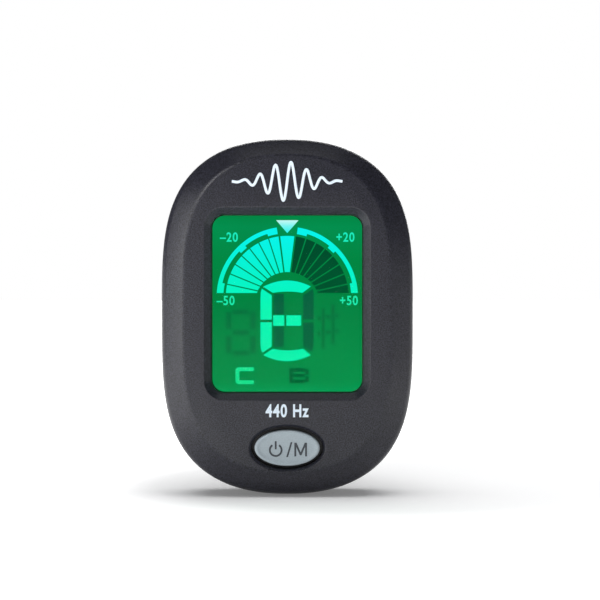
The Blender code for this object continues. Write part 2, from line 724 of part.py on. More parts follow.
def make_board(frame):
    inset = SIDE_WALL + CLEAR + LIP_THICK + BOARD_GAP
    board = add("circuit_board", loft([
        outline_at(inset, BOARD_DEPTH), outline_at(inset, BOARD_BACK),
    ]), "board", frame)
    notch_radius = BOSS_RADIUS + 0.2 * MM
    cut(board, *boss_rods(
        "board_notch", notch_radius, BOARD_DEPTH - THROUGH, BOARD_BACK + THROUGH, frame
    ))
    side_x = 0.6 * HALF_WIDTH
    add(
        "tuner_chip", block(CHIP_SIDE, CHIP_THICK, CHIP_SIDE), "chip", frame,
        (-side_x, BOARD_BACK + BOND + CHIP_THICK / 2, BALL_LIFT + 4.0 * MM),
    )
    add(
        "crystal", rod(CRYSTAL_RADIUS, CRYSTAL_LENGTH, "X", 16), "tin", frame,
        (side_x, BOARD_BACK + BOND + CRYSTAL_RADIUS, BALL_LIFT + 5.0 * MM),
    )
    width, depth, height = CAPACITOR_SIZE
    for i in range(4):
        add(
            f"capacitor_{i + 1}", block(width, depth, height), "capacitor", frame,
            ((1 if i % 2 else -1) * side_x, BOARD_BACK + BOND + depth / 2,
             BALL_LIFT - (4.5 + 2.2 * (i // 2)) * MM),
        )


def make_piezo(frame):
    """Vibration sensor, glued to the back's inner face above the ball joint."""
    radius = PIEZO_RADIUS
    lift = BALL_LIFT + CUP_RADIUS + 1.3 * MM + radius
    disc_depth = CAVITY_DEPTH - CLEAR - CONTACT_THICK / 2
    add("piezo_disc", rod(radius, CONTACT_THICK), "brass", frame, (0, disc_depth, lift))
    ceramic_depth = disc_depth - CONTACT_THICK - BOND
    add("piezo_ceramic", rod(0.7 * radius, CONTACT_THICK), "ceramic", frame,
        (0, ceramic_depth, lift))
    lead_radius = 0.25 * MM
    start = ceramic_depth - CONTACT_THICK / 2 - lead_radius - BOND
    end = BOARD_BACK + BOND
    for colour, side in (("red", -1), ("black", 1)):
        points = []
        for i in range(10):
            t = i / 9
            points.append((
                side * (0.8 + 0.5 * sin(pi * t)) * MM,
                start + (end - start) * (1 - cos(pi / 2 * t)),
                lift - 0.1 * radius - 1.3 * MM * sin(pi / 2 * t),
            ))
        wire(f"piezo_wire_{colour}", points, lead_radius, f"wire_{colour}", frame)


# ---- button and switch

def make_button(frame):
    pivot = new_frame("button_axis", frame, 0, 0, -BUTTON_DROP)
    half_width, half_height = BUTTON_WIDTH / 2, BUTTON_HEIGHT / 2
    cap_back = FLANGE_DEPTH - CLEAR
    cap = add("power_button", loft([
        ellipse(half_width - inset, half_height - inset, depth)
        for inset, depth in (
            (0.55 * MM, -BUTTON_PROUD),
            (0.15 * MM, 0),
            (0, 0.3 * MM),
            (0, cap_back),
        )
    ]), "key_grey", pivot)
    stem_length = FLANGE_THICK
    join(cap, helper("cap_stem", rod(BUTTON_STEM_RADIUS, 2 * stem_length), pivot, (0, cap_back, 0)))
    flange_width, flange_height = (side + FLANGE_LAP for side in BUTTON_WELL)
    retainer = add("button_retainer", loft([
        ellipse(flange_width, flange_height, depth)
        for depth in (FLANGE_DEPTH, FLANGE_DEPTH + FLANGE_THICK)
    ]), "key_black", pivot)
    post_end = PLUNGER_DEPTH - BOND
    post_start = FLANGE_DEPTH + 0.5 * FLANGE_THICK
    join(retainer, helper(
        "retainer_post", rod(POST_RADIUS, post_end - post_start), pivot,
        (0, (post_end + post_start) / 2, 0),
    ))
    cut(retainer, helper(
        "stem_hole", rod(BUTTON_STEM_RADIUS + CLEAR, 3 * stem_length), pivot, (0, cap_back, 0)
    ))


def make_switch(frame):
    """Tactile switch on the board's front, with its plunger under the button's post."""
    axis = new_frame("switch_axis", frame, 0, 0, -BUTTON_DROP)
    back = BOARD_DEPTH - CLEAR
    body = add(
        "mode_switch", block(SWITCH_SIDE, back - SWITCH_DEPTH, SWITCH_SIDE, 0.3 * MM), "chip", axis,
        (0, (SWITCH_DEPTH + back) / 2, 0),
    )
    well_end = PLUNGER_DEPTH + PLUNGER_LENGTH + BUTTON_TRAVEL + BOND
    cut(body, helper(
        "plunger_well", rod(PLUNGER_RADIUS + CLEAR, 2 * (well_end - SWITCH_DEPTH)), axis,
        (0, SWITCH_DEPTH, 0),
    ))
    add("switch_plunger", rod(PLUNGER_RADIUS, PLUNGER_LENGTH), "white_plastic", axis,
        (0, PLUNGER_DEPTH + PLUNGER_LENGTH / 2, 0))


# ---- battery

def make_battery(frame):
    turned(
        "coin_cell",
        [
            (0, COIN_THICK),
            (COIN_RADIUS - 0.3 * MM, COIN_THICK),
            (COIN_RADIUS, COIN_THICK - 0.3 * MM),
            (COIN_RADIUS, 0.5 * MM),
            (COIN_RADIUS - 0.9 * MM, 0.35 * MM),
            (COIN_RADIUS - 1.1 * MM, 0),
            (0, 0),
        ],
        "steel", frame, (0, COIN_DEPTH, -COIN_DROP), steps=32,
    )
    negative_depth = BOARD_BACK + BOND + CONTACT_THICK / 2
    add("negative_contact", block(0.8 * CONTACT_WIDTH, CONTACT_THICK, 8.0 * MM, 0.5 * MM), "brass",
        frame, (0, negative_depth, -COIN_DROP))
    top = -COIN_DROP + COIN_RADIUS
    leaf_start = BOARD_BACK + BOND
    leaf_end = COIN_DEPTH + COIN_THICK + BOND + CONTACT_THICK
    leaf = add(
        "positive_contact", block(CONTACT_WIDTH, leaf_end - leaf_start, CONTACT_THICK), "brass",
        frame, (0, (leaf_start + leaf_end) / 2, top + POCKET_GAP),
    )
    hook_reach = 2.0 * MM
    join(leaf, helper(
        "contact_hook", block(0.8 * CONTACT_WIDTH, CONTACT_THICK, hook_reach), frame,
        (0, leaf_end - CONTACT_THICK / 2 - 0.02 * MM, top + POCKET_GAP - hook_reach / 2),
    ))


# ---- ball joint

def make_ball_stud(frame):
    """A ball, its stem and the foot that seats on the clip."""
    neck = asin(STEM_RADIUS / BALL_RADIUS)
    steps = 10
    ball = [
        (BALL_RADIUS * sin(angle), BALL_RADIUS * cos(angle))
        for angle in (neck + (pi - neck) * i / steps for i in range(steps))
    ]
    foot = STANDOFF - BOND
    stud = turned(
        "ball_stud",
        [
            (0, foot),
            (STEM_FLANGE_RADIUS, foot),
            (STEM_FLANGE_RADIUS, foot - 0.7 * STEM_FLANGE_THICK),
            (STEM_RADIUS + 0.5 * MM, foot - STEM_FLANGE_THICK),
            (STEM_RADIUS, foot - STEM_FLANGE_THICK - 0.5 * MM),
            *ball,
            (0, -BALL_RADIUS),
        ],
        "casing", frame, (0, BALL_DEPTH, 0), steps=28,
    )
    cut(stud, helper(
        "stud_hole", rod(SCREW_RADIUS + 0.15 * MM, 2 * STUD_HOLE_LENGTH, steps=16), frame,
        (0, ARM_DEPTH, 0),
    ))
    make_screw(
        "stud_screw", frame, (0, ARM_BACK - STUD_HEAD_SINK, 0), SCREW_RADIUS,
        ARM_THICK - STUD_HEAD_SINK + STUD_HOLE_LENGTH - 0.6 * MM, STUD_HEAD_RADIUS, STUD_HEAD_THICK,
    )


def make_ball_cup(frame):
    """A liner that wraps the ball and turns in the casing's collar."""
    inner = BALL_RADIUS + BALL_GAP
    front, back = CUP_FRONT - BALL_DEPTH, CUP_BACK - BALL_DEPTH
    steps = 7
    bore = []
    for i in range(steps + 1):
        depth = front + (back - front) * i / steps
        bore.append((sqrt(inner ** 2 - depth ** 2), depth))
    flange_back = CAVITY_DEPTH - BALL_DEPTH - CLEAR
    turned(
        "ball_cup",
        [
            (CUP_RADIUS - 0.4 * MM, back),
            (CUP_RADIUS, back - 0.4 * MM),
            (CUP_RADIUS, flange_back),
            (CUP_RADIUS + CUP_FLANGE, flange_back),
            (CUP_RADIUS + CUP_FLANGE, front),
            *bore,
        ],
        "key_black", frame, (0, 0, 0), closed=True, steps=28,
    )


def make_cup_retainer(frame):
    """A plate that holds the cup in the casing, with its two screws."""
    thick = RETAINER_THICK
    depth = CUP_FRONT - CLEAR - thick / 2
    plate = add("cup_retainer", rod(CUP_RADIUS + CUP_FLANGE, thick, steps=40), "steel", frame,
                (0, depth, BALL_LIFT))
    ear_reach = RETAINER_EAR + RETAINER_EAR_WIDTH / 2 - 0.2 * MM
    ears = helper("retainer_ears", block(2 * ear_reach, thick, RETAINER_EAR_WIDTH, 1.5 * MM),
                  frame, (0, depth, BALL_LIFT))
    join(plate, ears)
    hole = helper("retainer_bore", rod(0.88 * BALL_RADIUS, 4 * thick, steps=32), frame,
                  (0, depth, BALL_LIFT))
    cut(plate, hole)
    shank, head = RETAINER_SCREW["shank"], RETAINER_SCREW["head"]
    length = RETAINER_SCREW["length"]
    for i, side in enumerate((-1, 1)):
        at = (side * RETAINER_EAR, depth, BALL_LIFT)
        hole = rod(RETAINER_SCREW["hole"], 4 * thick, steps=16)
        cut(plate, helper(f"ear_hole_{i}", hole, frame, at))
        turned(
            f"retainer_screw_{i + 1}",
            [
                (0, length),
                (shank, length),
                (shank, 0),
                (head, 0),
                (head, -0.6 * RETAINER_HEAD_THICK),
                (0.75 * head, -RETAINER_HEAD_THICK),
                (0, -RETAINER_HEAD_THICK),
            ],
            "steel", frame, (at[0], depth - thick / 2 - BOND, BALL_LIFT), steps=16,
        )


# ---- clip

def tip_inset(distance, radius):
    """How far a rounded tip's side has drawn in, at a distance from its end."""
    if distance >= radius:
        return 0.0
    return radius - sqrt(radius ** 2 - (radius - distance) ** 2)


def bar(stations, thick):
    """An arm lofted along stations of (depth of its middle, z, half width). Each section is a
    rounded rectangle across the arm's run; the ends are drawn in to soften them."""
    rings = []
    last = len(stations) - 1
    for i, (depth, z, half_width) in enumerate(stations):
        before, after = stations[max(i - 1, 0)], stations[min(i + 1, last)]
        run = Vector((0, after[0] - before[0], after[1] - before[1])).normalized()
        out = Vector((0, run.z, -run.y))
        soften = 0.35 if i in (0, last) else 0.0
        half_thick = thick / 2 - soften * EDGE_SOFT
        section = rounded_rectangle(
            2 * half_width, 2 * half_thick, min(EDGE_SOFT, 0.9 * half_thick), 0, steps=3
        )
        centre = Vector((0, depth, z))
        rings.append([centre + Vector((p.x, 0, 0)) + out * p.z for p in section])
    return loft(rings)


def arm_stations(middle):
    """Stations from the jaw tip to the thumb end. middle(z) gives the arm's mid-depth."""
    tips = (0.0, 0.08, 0.3, 0.62, 1.0)
    low, high = -JAW_LENGTH, TAIL_LENGTH
    places = [low + t * TIP_RADIUS for t in tips]
    inside = 9
    first, last = places[-1], high - TIP_RADIUS
    places += [first + (last - first) * i / inside for i in range(1, inside)]
    places += [high - t * TIP_RADIUS for t in reversed(tips)]
    return [
        (middle(z), z, ARM_WIDTH / 2 - tip_inset(min(z - low, high - z), TIP_RADIUS))
        for z in places
    ]


def lever_middle(z):
    """The lever runs straight along its jaw and then bends away from the front arm."""
    straight = LEVER_JAW_DEPTH + LEVER_THICK / 2
    share = max(0.0, (z - LEVER_BEND_START) / (TAIL_LENGTH - LEVER_BEND_START))
    return straight + LEVER_RISE * share ** 1.6


def ear(name, side, inner, from_depth, frame):
    """One hinge ear: a web from inside the arm, with a round end on the hinge axis."""
    outward = copysign(1, HINGE_DEPTH - from_depth)
    angles = [pi / 2 - pi * i / OVAL_STEPS for i in range(OVAL_STEPS + 1)]
    profile = [(from_depth, EAR_RADIUS)]
    profile += [(HINGE_DEPTH + outward * EAR_RADIUS * cos(a), EAR_RADIUS * sin(a)) for a in angles]
    profile += [(from_depth, -EAR_RADIUS)]
    return helper(name, loft([
        [Vector((side * x, depth, HINGE_LIFT + z)) for depth, z in profile]
        for x in (inner, inner + EAR_THICK)
    ]), frame)


def pad_pocket(name, depth, frame):
    """Cutter for the shallow seat that a jaw pad is pressed into."""
    return helper(
        name, block(PAD_WIDTH + 2 * PAD_GAP, 2 * PAD_POCKET, PAD_HEIGHT + 2 * PAD_GAP, 1.0 * MM),
        frame, (0, depth, -PAD_DROP),
    )


def make_front_arm(frame):
    arm = add(
        "clip_front_arm",
        bar(arm_stations(lambda z: ARM_DEPTH + ARM_THICK / 2), ARM_THICK), "casing", frame,
    )
    for side in (-1, 1):
        join(arm, ear(f"front_ear_{side}", side, EAR_INNER, ARM_BACK - EAR_ROOT, frame))
    hinge_hole = helper("front_hinge_hole", rod(PIN_RADIUS + PIN_GAP, 2 * ARM_WIDTH, "X"), frame,
                        (0, HINGE_DEPTH, HINGE_LIFT))
    screw_hole = helper("arm_screw_hole", rod(SCREW_RADIUS + 0.2 * MM, 4 * ARM_THICK, steps=16),
                        frame, (0, ARM_DEPTH, 0))
    screw_seat = helper(
        "arm_screw_seat", rod(STUD_HEAD_RADIUS + CLEAR, 2 * (STUD_HEAD_SINK + BOND)), frame,
        (0, ARM_BACK, 0),
    )
    cut(arm, hinge_hole, screw_hole, screw_seat, pad_pocket("front_pad_pocket", ARM_BACK, frame))


def make_lever(frame):
    lever = add(
        "clip_lever", bar(arm_stations(lever_middle), LEVER_THICK), "casing", frame,
        (0, -HINGE_DEPTH, -HINGE_LIFT),
    )
    inner = new_frame("lever_frame", frame, 0, -HINGE_DEPTH, -HINGE_LIFT)
    for side in (-1, 1):
        root = lever_middle(HINGE_LIFT) - LEVER_THICK / 2 + EAR_ROOT
        join(lever, ear(f"lever_ear_{side}", side, LEVER_EAR_INNER, root, inner))
    for i in range(GRIP_RIBS):
        z = TAIL_LENGTH - 2.2 * MM - i * GRIP_PITCH
        slope = (lever_middle(z + MM) - lever_middle(z - MM)) / (2 * MM)
        rib = helper(
            f"grip_rib_{i}", rod(2 * GRIP_PROUD, ARM_WIDTH - 6.0 * MM, "X", 12), inner,
            (0, lever_middle(z) + LEVER_THICK / 2 * sqrt(1 + slope ** 2) - 0.4 * GRIP_PROUD, z),
        )
        join(lever, rib)
    hinge_hole = helper("lever_hinge_hole", rod(PIN_RADIUS + PIN_GAP, 2 * ARM_WIDTH, "X"), inner,
                        (0, HINGE_DEPTH, HINGE_LIFT))
    cut(lever, hinge_hole, pad_pocket("rear_pad_pocket", LEVER_JAW_DEPTH, inner))
    return inner


def make_pad(name, facing, frame):
    """A rubber pad with grip grooves. facing is 1 if its face looks to the back, -1 if not."""
    thick = PAD_PROUD + PAD_POCKET - PAD_GAP
    base = ARM_BACK - PAD_POCKET + PAD_GAP if facing > 0 else LEVER_JAW_DEPTH + PAD_POCKET - PAD_GAP
    pad = add(name, block(PAD_WIDTH, thick, PAD_HEIGHT, 1.0 * MM), "rubber", frame,
              (0, base + facing * thick / 2, -PAD_DROP))
    groove_width, groove_depth, groove_pitch = 0.9 * MM, 0.4 * MM, PAD_HEIGHT / 5
    for i in (-2, -1, 1, 2):
        cut(pad, helper(
            f"{name}_groove_{i}", block(2 * PAD_WIDTH, 2 * groove_depth, groove_width), frame,
            (0, base + facing * thick, -PAD_DROP + i * groove_pitch),
        ))


def make_hinge_pin(frame):
    """Turned pin along X: a flat head on one end, a rounded end on the other."""
    half = LEVER_EAR_INNER + EAR_THICK + 0.2 * MM
    pin = turned(
        "hinge_pin",
        [
            (0, half + 0.6 * MM),
            (1.5 * PIN_RADIUS, half + 0.6 * MM),
            (1.7 * PIN_RADIUS, half + 0.4 * MM),
            (1.7 * PIN_RADIUS, half),
            (PIN_RADIUS, half),
            (PIN_RADIUS, 0.2 * MM - half),
            (0.8 * PIN_RADIUS, -half),
            (0, -half),
        ],
        "steel", frame, (0, HINGE_DEPTH, HINGE_LIFT),
    )
    pin.rotation_euler = (0, pi / 2, 0)


def make_spring(frame):
    """Torsion spring: its coil round the hinge pin, its legs pressing the tails apart."""
    arm_leg = (ARM_BACK + WIRE_RADIUS + CLEAR, HINGE_LIFT + SPRING_LEG)
    z_end = HINGE_LIFT + SPRING_LEG
    lever_leg = (lever_middle(z_end) - LEVER_THICK / 2 - WIRE_RADIUS - 0.5 * MM, z_end)
    per_turn = 12
    count = round(per_turn * COIL_TURNS)
    coil = []
    for i in range(count + 1):
        angle = tau * COIL_TURNS * i / count
        x = COIL_HALF_LENGTH * (2 * i / count - 1)
        coil.append((
            x, HINGE_DEPTH - COIL_RADIUS * cos(angle), HINGE_LIFT - COIL_RADIUS * sin(angle),
        ))
    leg_in = [(-COIL_HALF_LENGTH, *arm_leg), (-COIL_HALF_LENGTH, arm_leg[0], arm_leg[1] - 2 * MM)]
    leg_out = [(COIL_HALF_LENGTH, *lever_leg)]
    wire("torsion_spring", leg_in + coil + leg_out, WIRE_RADIUS, "steel", frame)


clear_scene()
parts = new_collection("clip_on_tuner")
helpers = new_collection("helpers")
helpers.hide_render = True

clip = new_frame("clip", None, 0, -PAD_FACE_DEPTH, PAD_DROP)
ball = new_frame("ball_centre", clip, 0, BALL_DEPTH, 0)
head = new_frame("head", ball, 0, -BALL_DEPTH, -BALL_LIFT)
lever_hinge = new_frame("lever_hinge", clip, 0, HINGE_DEPTH, HINGE_LIFT)

make_front_shell(head)
make_rear_shell(head)
make_battery_door(head)
make_case_screws(head)
make_display(head)
make_board(head)
make_piezo(head)
make_button(head)
make_switch(head)
make_battery(head)
make_cup_retainer(head)
make_ball_cup(ball)
make_ball_stud(clip)
make_front_arm(clip)
make_pad("front_jaw_pad", 1, clip)
make_hinge_pin(clip)
make_spring(clip)
lever_inner = make_lever(lever_hinge)
make_pad("rear_jaw_pad", -1, lever_inner)
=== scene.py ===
import json
from math import asin, copysign, cos, exp, pi, radians, sin, sqrt, tau

import bmesh
import bpy
from mathutils import Matrix, Vector


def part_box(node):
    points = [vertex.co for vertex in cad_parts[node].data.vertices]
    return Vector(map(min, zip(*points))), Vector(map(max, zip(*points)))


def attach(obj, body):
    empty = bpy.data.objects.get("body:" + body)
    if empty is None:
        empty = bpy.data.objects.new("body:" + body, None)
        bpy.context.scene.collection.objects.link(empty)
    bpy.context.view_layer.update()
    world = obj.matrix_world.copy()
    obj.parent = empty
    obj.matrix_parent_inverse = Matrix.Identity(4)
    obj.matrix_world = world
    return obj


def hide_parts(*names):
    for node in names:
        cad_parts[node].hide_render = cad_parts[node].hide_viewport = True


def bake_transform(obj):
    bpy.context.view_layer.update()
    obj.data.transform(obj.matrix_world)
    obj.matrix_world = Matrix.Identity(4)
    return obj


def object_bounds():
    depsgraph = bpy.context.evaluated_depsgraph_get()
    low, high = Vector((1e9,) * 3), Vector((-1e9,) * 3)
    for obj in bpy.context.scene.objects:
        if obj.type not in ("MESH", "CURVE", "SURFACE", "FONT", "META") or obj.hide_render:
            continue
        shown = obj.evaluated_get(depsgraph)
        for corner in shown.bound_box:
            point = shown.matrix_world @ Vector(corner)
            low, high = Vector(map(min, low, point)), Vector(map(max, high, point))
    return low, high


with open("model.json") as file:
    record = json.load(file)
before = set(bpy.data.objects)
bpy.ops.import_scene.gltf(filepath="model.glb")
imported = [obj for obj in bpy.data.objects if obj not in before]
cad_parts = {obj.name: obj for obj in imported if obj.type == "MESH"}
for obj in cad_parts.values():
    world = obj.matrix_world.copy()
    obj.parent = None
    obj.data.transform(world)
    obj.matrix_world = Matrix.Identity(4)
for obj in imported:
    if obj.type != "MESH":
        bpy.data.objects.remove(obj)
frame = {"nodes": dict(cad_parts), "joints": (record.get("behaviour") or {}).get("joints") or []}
cadLow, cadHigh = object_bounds()
mm = 0.001

# Places on the head are (across, depth behind the face, up from its middle).
shellLow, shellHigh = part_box("front_shell")
faceY = shellLow.y
headZ = (shellLow.z + shellHigh.z) / 2
halfWide = (shellHigh.x - shellLow.x) / 2
halfTall = (shellHigh.z - shellLow.z) / 2
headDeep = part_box("rear_shell")[1].y - 1.9 * mm - faceY  # without the collar that stands proud
jointAt = {joint["name"]: Vector(joint.get("pos_m", (0, 0, 0))) for joint in frame["joints"]}
ballAt = jointAt["head_swivel"]
hingeAt = jointAt["clip_open"]


def headPlace(across, depth, up):
    return Vector((across, faceY + depth, headZ + up))


# ---------------- making meshes

def ovalLoop(bm, wide, tall, depth, lift=0.0, powers=(2, 2), segments=96):
    ring = bmesh.ops.create_circle(bm, segments=segments, radius=1)["verts"]
    for vert in ring:
        across, up = vert.co.x, vert.co.y
        vert.co = headPlace(
            wide * copysign(abs(across) ** (2 / powers[0]), across),
            depth,
            lift + tall * copysign(abs(up) ** (2 / powers[1]), up),
        )
    return list({edge for vert in ring for edge in vert.link_edges})


def squareLoop(bm, wide, tall, corner, depth, lift=0.0, across=0.0, segments=64):
    turn = Matrix.Rotation(pi / segments, 4, "Z")
    ring = bmesh.ops.create_circle(bm, segments=segments, radius=1, matrix=turn)["verts"]
    for vert in ring:
        x, z = vert.co.x, vert.co.y
        vert.co = headPlace(
            across + copysign(wide - corner, x) + corner * x,
            depth,
            lift + copysign(tall - corner, z) + corner * z,
        )
    return list({edge for vert in ring for edge in vert.link_edges})


def skin(bm, loops, capped=True):
    for loop, following in zip(loops, loops[1:]):
        bmesh.ops.bridge_loops(bm, edges=loop + following)
    if capped:
        bmesh.ops.edgeloop_fill(bm, edges=loops[0])
        bmesh.ops.edgeloop_fill(bm, edges=loops[-1])


def roundOver(bm, edges, width, segments):
    bmesh.ops.bevel(
        bm, geom=edges, offset=width, segments=segments, profile=0.5, affect="EDGES", material=-1
    )


def edgesBetween(bm, test):
    return [edge for edge in bm.edges if all(test(vert.co) for vert in edge.verts)]


def brick(bm, low, high):
    low, high = Vector(low), Vector(high)
    middle, size = (low + high) / 2, high - low
    return bmesh.ops.create_cube(
        bm, size=1, matrix=Matrix.Translation(middle) @ Matrix.Diagonal((*size, 1))
    )["verts"]


def headBrick(bm, wide, tall, front, back, across=0.0, up=0.0):
    return brick(
        bm,
        headPlace(across - wide / 2, front, up - tall / 2),
        headPlace(across + wide / 2, back, up + tall / 2),
    )


def rod(bm, start, end, radius, segments=48):
    start, end = Vector(start), Vector(end)
    run = end - start
    turn = Vector((0, 0, 1)).rotation_difference(run).to_matrix().to_4x4()
    return bmesh.ops.create_cone(
        bm, cap_ends=True, segments=segments, radius1=radius, radius2=radius, depth=run.length,
        matrix=Matrix.Translation((start + end) / 2) @ turn,
    )["verts"]


def spun(bm, profile, centre, axis=(0, 1, 0), closed=False, segments=72):
    # a profile of (radius, distance along the axis), turned all the way round
    out = Vector((0, 0, 1)) if axis[0] else Vector((1, 0, 0))
    along = Vector(axis)
    verts = [bm.verts.new(Vector(centre) + out * r + along * d) for r, d in profile]
    edges = [bm.edges.new(pair) for pair in zip(verts, verts[1:])]
    if closed:
        edges.append(bm.edges.new((verts[-1], verts[0])))
    bmesh.ops.spin(
        bm, geom=verts + edges, cent=centre, axis=axis, dvec=(0, 0, 0), angle=tau,
        steps=segments, use_merge=True, use_duplicate=False,
    )
    bmesh.ops.remove_doubles(bm, verts=bm.verts, dist=1e-7)


def tool(bm):
    bmesh.ops.remove_doubles(bm, verts=bm.verts, dist=1e-7)
    bmesh.ops.recalc_face_normals(bm, faces=bm.faces)
    mesh = bpy.data.meshes.new("tool")
    bm.to_mesh(mesh)
    bm.free()
    made = bpy.data.objects.new("tool", mesh)
    bpy.context.scene.collection.objects.link(made)
    return made


def tidyShade(mesh, angle=35):
    mesh.shade_smooth()
    mesh.set_sharp_from_angle(angle=radians(angle))


def settle(piece):
    # the mesh that the modifiers make takes the place of the piece's own
    graph = bpy.context.evaluated_depsgraph_get()
    made = bpy.data.meshes.new_from_object(piece.evaluated_get(graph))
    old = piece.data
    piece.modifiers.clear()
    piece.data = made
    made.name = old.name
    bpy.data.meshes.remove(old)


def carve(piece, operation, *tools):
    for one in tools:
        step = piece.modifiers.new(operation.lower(), "BOOLEAN")
        step.operation = operation
        step.solver = "EXACT"
        step.object = one
    settle(piece)
    for one in tools:
        bpy.data.objects.remove(one)
    tidyShade(piece.data)


def soften(piece, width, segments=3, angle=30):
    step = piece.modifiers.new("edges", "BEVEL")
    step.width = width
    step.segments = segments
    step.limit_method = "ANGLE"
    step.angle_limit = radians(angle)
    step.use_clamp_overlap = False
    step.harden_normals = True
    settle(piece)


def addPiece(name, bm, finish, body, standsFor=()):
    bmesh.ops.remove_doubles(bm, verts=bm.verts, dist=1e-7)
    bmesh.ops.recalc_face_normals(bm, faces=bm.faces)
    mesh = bpy.data.meshes.new(name)
    bm.to_mesh(mesh)
    bm.free()
    tidyShade(mesh)
    mesh.materials.append(finish)
    piece = bpy.data.objects.new(name, mesh)
    bpy.context.scene.collection.objects.link(piece)
    if body:
        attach(piece, body)
    if standsFor:
        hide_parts(*standsFor)
    return piece


# ---------------- finishes

def linear(*tone):
    # display values from 0 to 255, made linear
    return tuple(
        v / 255 / 12.92 if v <= 10 else ((v / 255 + 0.055) / 1.055) ** 2.4 for v in tone
    )


def newFinish(name, roughness, metallic=0.0, specular=0.5):
    made = bpy.data.materials.new(name)
    made.use_nodes = True
    shader = made.node_tree.nodes["Principled BSDF"]
    shader.inputs["Roughness"].default_value = roughness
    shader.inputs["Metallic"].default_value = metallic
    shader.inputs["Specular IOR Level"].default_value = specular
    return made, made.node_tree, shader


def objectNoise(tree, size, detail=2.0, stretch=(1, 1, 1)):
    # noise whose patches are about size across, in metres
    place = tree.nodes.new("ShaderNodeTexCoord")
    fit = tree.nodes.new("ShaderNodeMapping")
    fit.inputs["Scale"].default_value = stretch
    noise = tree.nodes.new("ShaderNodeTexNoise")
    noise.inputs["Scale"].default_value = 1 / size
    noise.inputs["Detail"].default_value = detail
    tree.links.new(place.outputs["Object"], fit.inputs["Vector"])
    tree.links.new(fit.outputs["Vector"], noise.inputs["Vector"])
    return noise.outputs["Fac"]


def spread(tree, value, low, high, fromLow=0.3, fromHigh=0.7):
    step = tree.nodes.new("ShaderNodeMapRange")
    for socket, number in zip(step.inputs[1:5], (fromLow, fromHigh, low, high)):
        socket.default_value = number
    tree.links.new(value, step.inputs["Value"])
    return step.outputs["Result"]


def blendTones(tree, value, *stops):
    ramp = tree.nodes.new("ShaderNodeValToRGB")
    points = ramp.color_ramp.elements
    while len(points) < len(stops):
        points.new(0.5)
    for point, (position, tone) in zip(points, stops):
        point.position = position
        point.color = (*tone, 1)
    tree.links.new(value, ramp.inputs["Fac"])
    return ramp.outputs["Color"]


def bumpFrom(tree, shader, *layers):
    # each layer is (value, height in metres)
    normal = None
    for value, height in layers:
        bump = tree.nodes.new("ShaderNodeBump")
        bump.inputs["Distance"].default_value = height
        tree.links.new(value, bump.inputs["Height"])
        if normal:
            tree.links.new(normal, bump.inputs["Normal"])
        normal = bump.outputs["Normal"]
    tree.links.new(normal, shader.inputs["Normal"])


def plasticFinish(name, tones, roughness, grain, height, specular=0.5):
    # moulded plastic: patchy tone, spark-eroded grain and a little uneven gloss
    made, tree, shader = newFinish(name, roughness[0], specular=specular)
    fine = objectNoise(tree, grain, 3.0)
    broad = objectNoise(tree, 30 * grain, 2.0)
    tone = blendTones(tree, fine, (0.35, tones[0]), (0.65, tones[1]))
    tree.links.new(tone, shader.inputs["Base Color"])
    tree.links.new(spread(tree, broad, *roughness), shader.inputs["Roughness"])
    bumpFrom(tree, shader, (fine, height), (objectNoise(tree, 3.5 * grain), 0.8 * height))
    return made


def metalFinish(name, tone, roughness, stretch=(1, 1, 1), size=0.3 * mm):
    made, tree, shader = newFinish(name, roughness, metallic=1.0)
    lines = objectNoise(tree, size, 4.0, stretch)
    darker = tuple(0.8 * v for v in tone)
    shades = blendTones(tree, lines, (0.3, darker), (0.7, tone))
    tree.links.new(shades, shader.inputs["Base Color"])
    tree.links.new(spread(tree, lines, 0.8 * roughness, 1.3 * roughness), shader.inputs["Roughness"])
    bumpFrom(tree, shader, (lines, 0.004 * mm))
    return made


def glowFinish(name, *stops, low, high, patch=0.0):
    # a lit layer whose tone runs up the head between two heights
    made, tree, shader = newFinish(name, 1.0, specular=0.0)
    shader.inputs["Base Color"].default_value = (0, 0, 0, 1)
    place = tree.nodes.new("ShaderNodeTexCoord")
    parted = tree.nodes.new("ShaderNodeSeparateXYZ")
    tree.links.new(place.outputs["Object"], parted.inputs["Vector"])
    height = spread(tree, parted.outputs["Z"], 0, 1, headZ + low, headZ + high)
    tone = blendTones(tree, height, *stops)
    if patch:
        cloud = spread(tree, objectNoise(tree, 9 * mm), 1 - patch, 1 + patch)
        shade = tree.nodes.new("ShaderNodeVectorMath")
        shade.operation = "SCALE"
        tree.links.new(tone, shade.inputs[0])
        tree.links.new(cloud, shade.inputs["Scale"])
        tone = shade.outputs["Vector"]
    tree.links.new(tone, shader.inputs["Emission Color"])
    shader.inputs["Emission Strength"].default_value = 1.0
    return made


def clearFinish(name, tone, alpha, roughness=0.03, specular=0.2):
    made, tree, shader = newFinish(name, roughness, specular=specular)
    shader.inputs["Base Color"].default_value = (*tone, 1)
    shader.inputs["Alpha"].default_value = alpha
    bumpFrom(tree, shader, (objectNoise(tree, 4 * mm), 0.002 * mm))
    return made


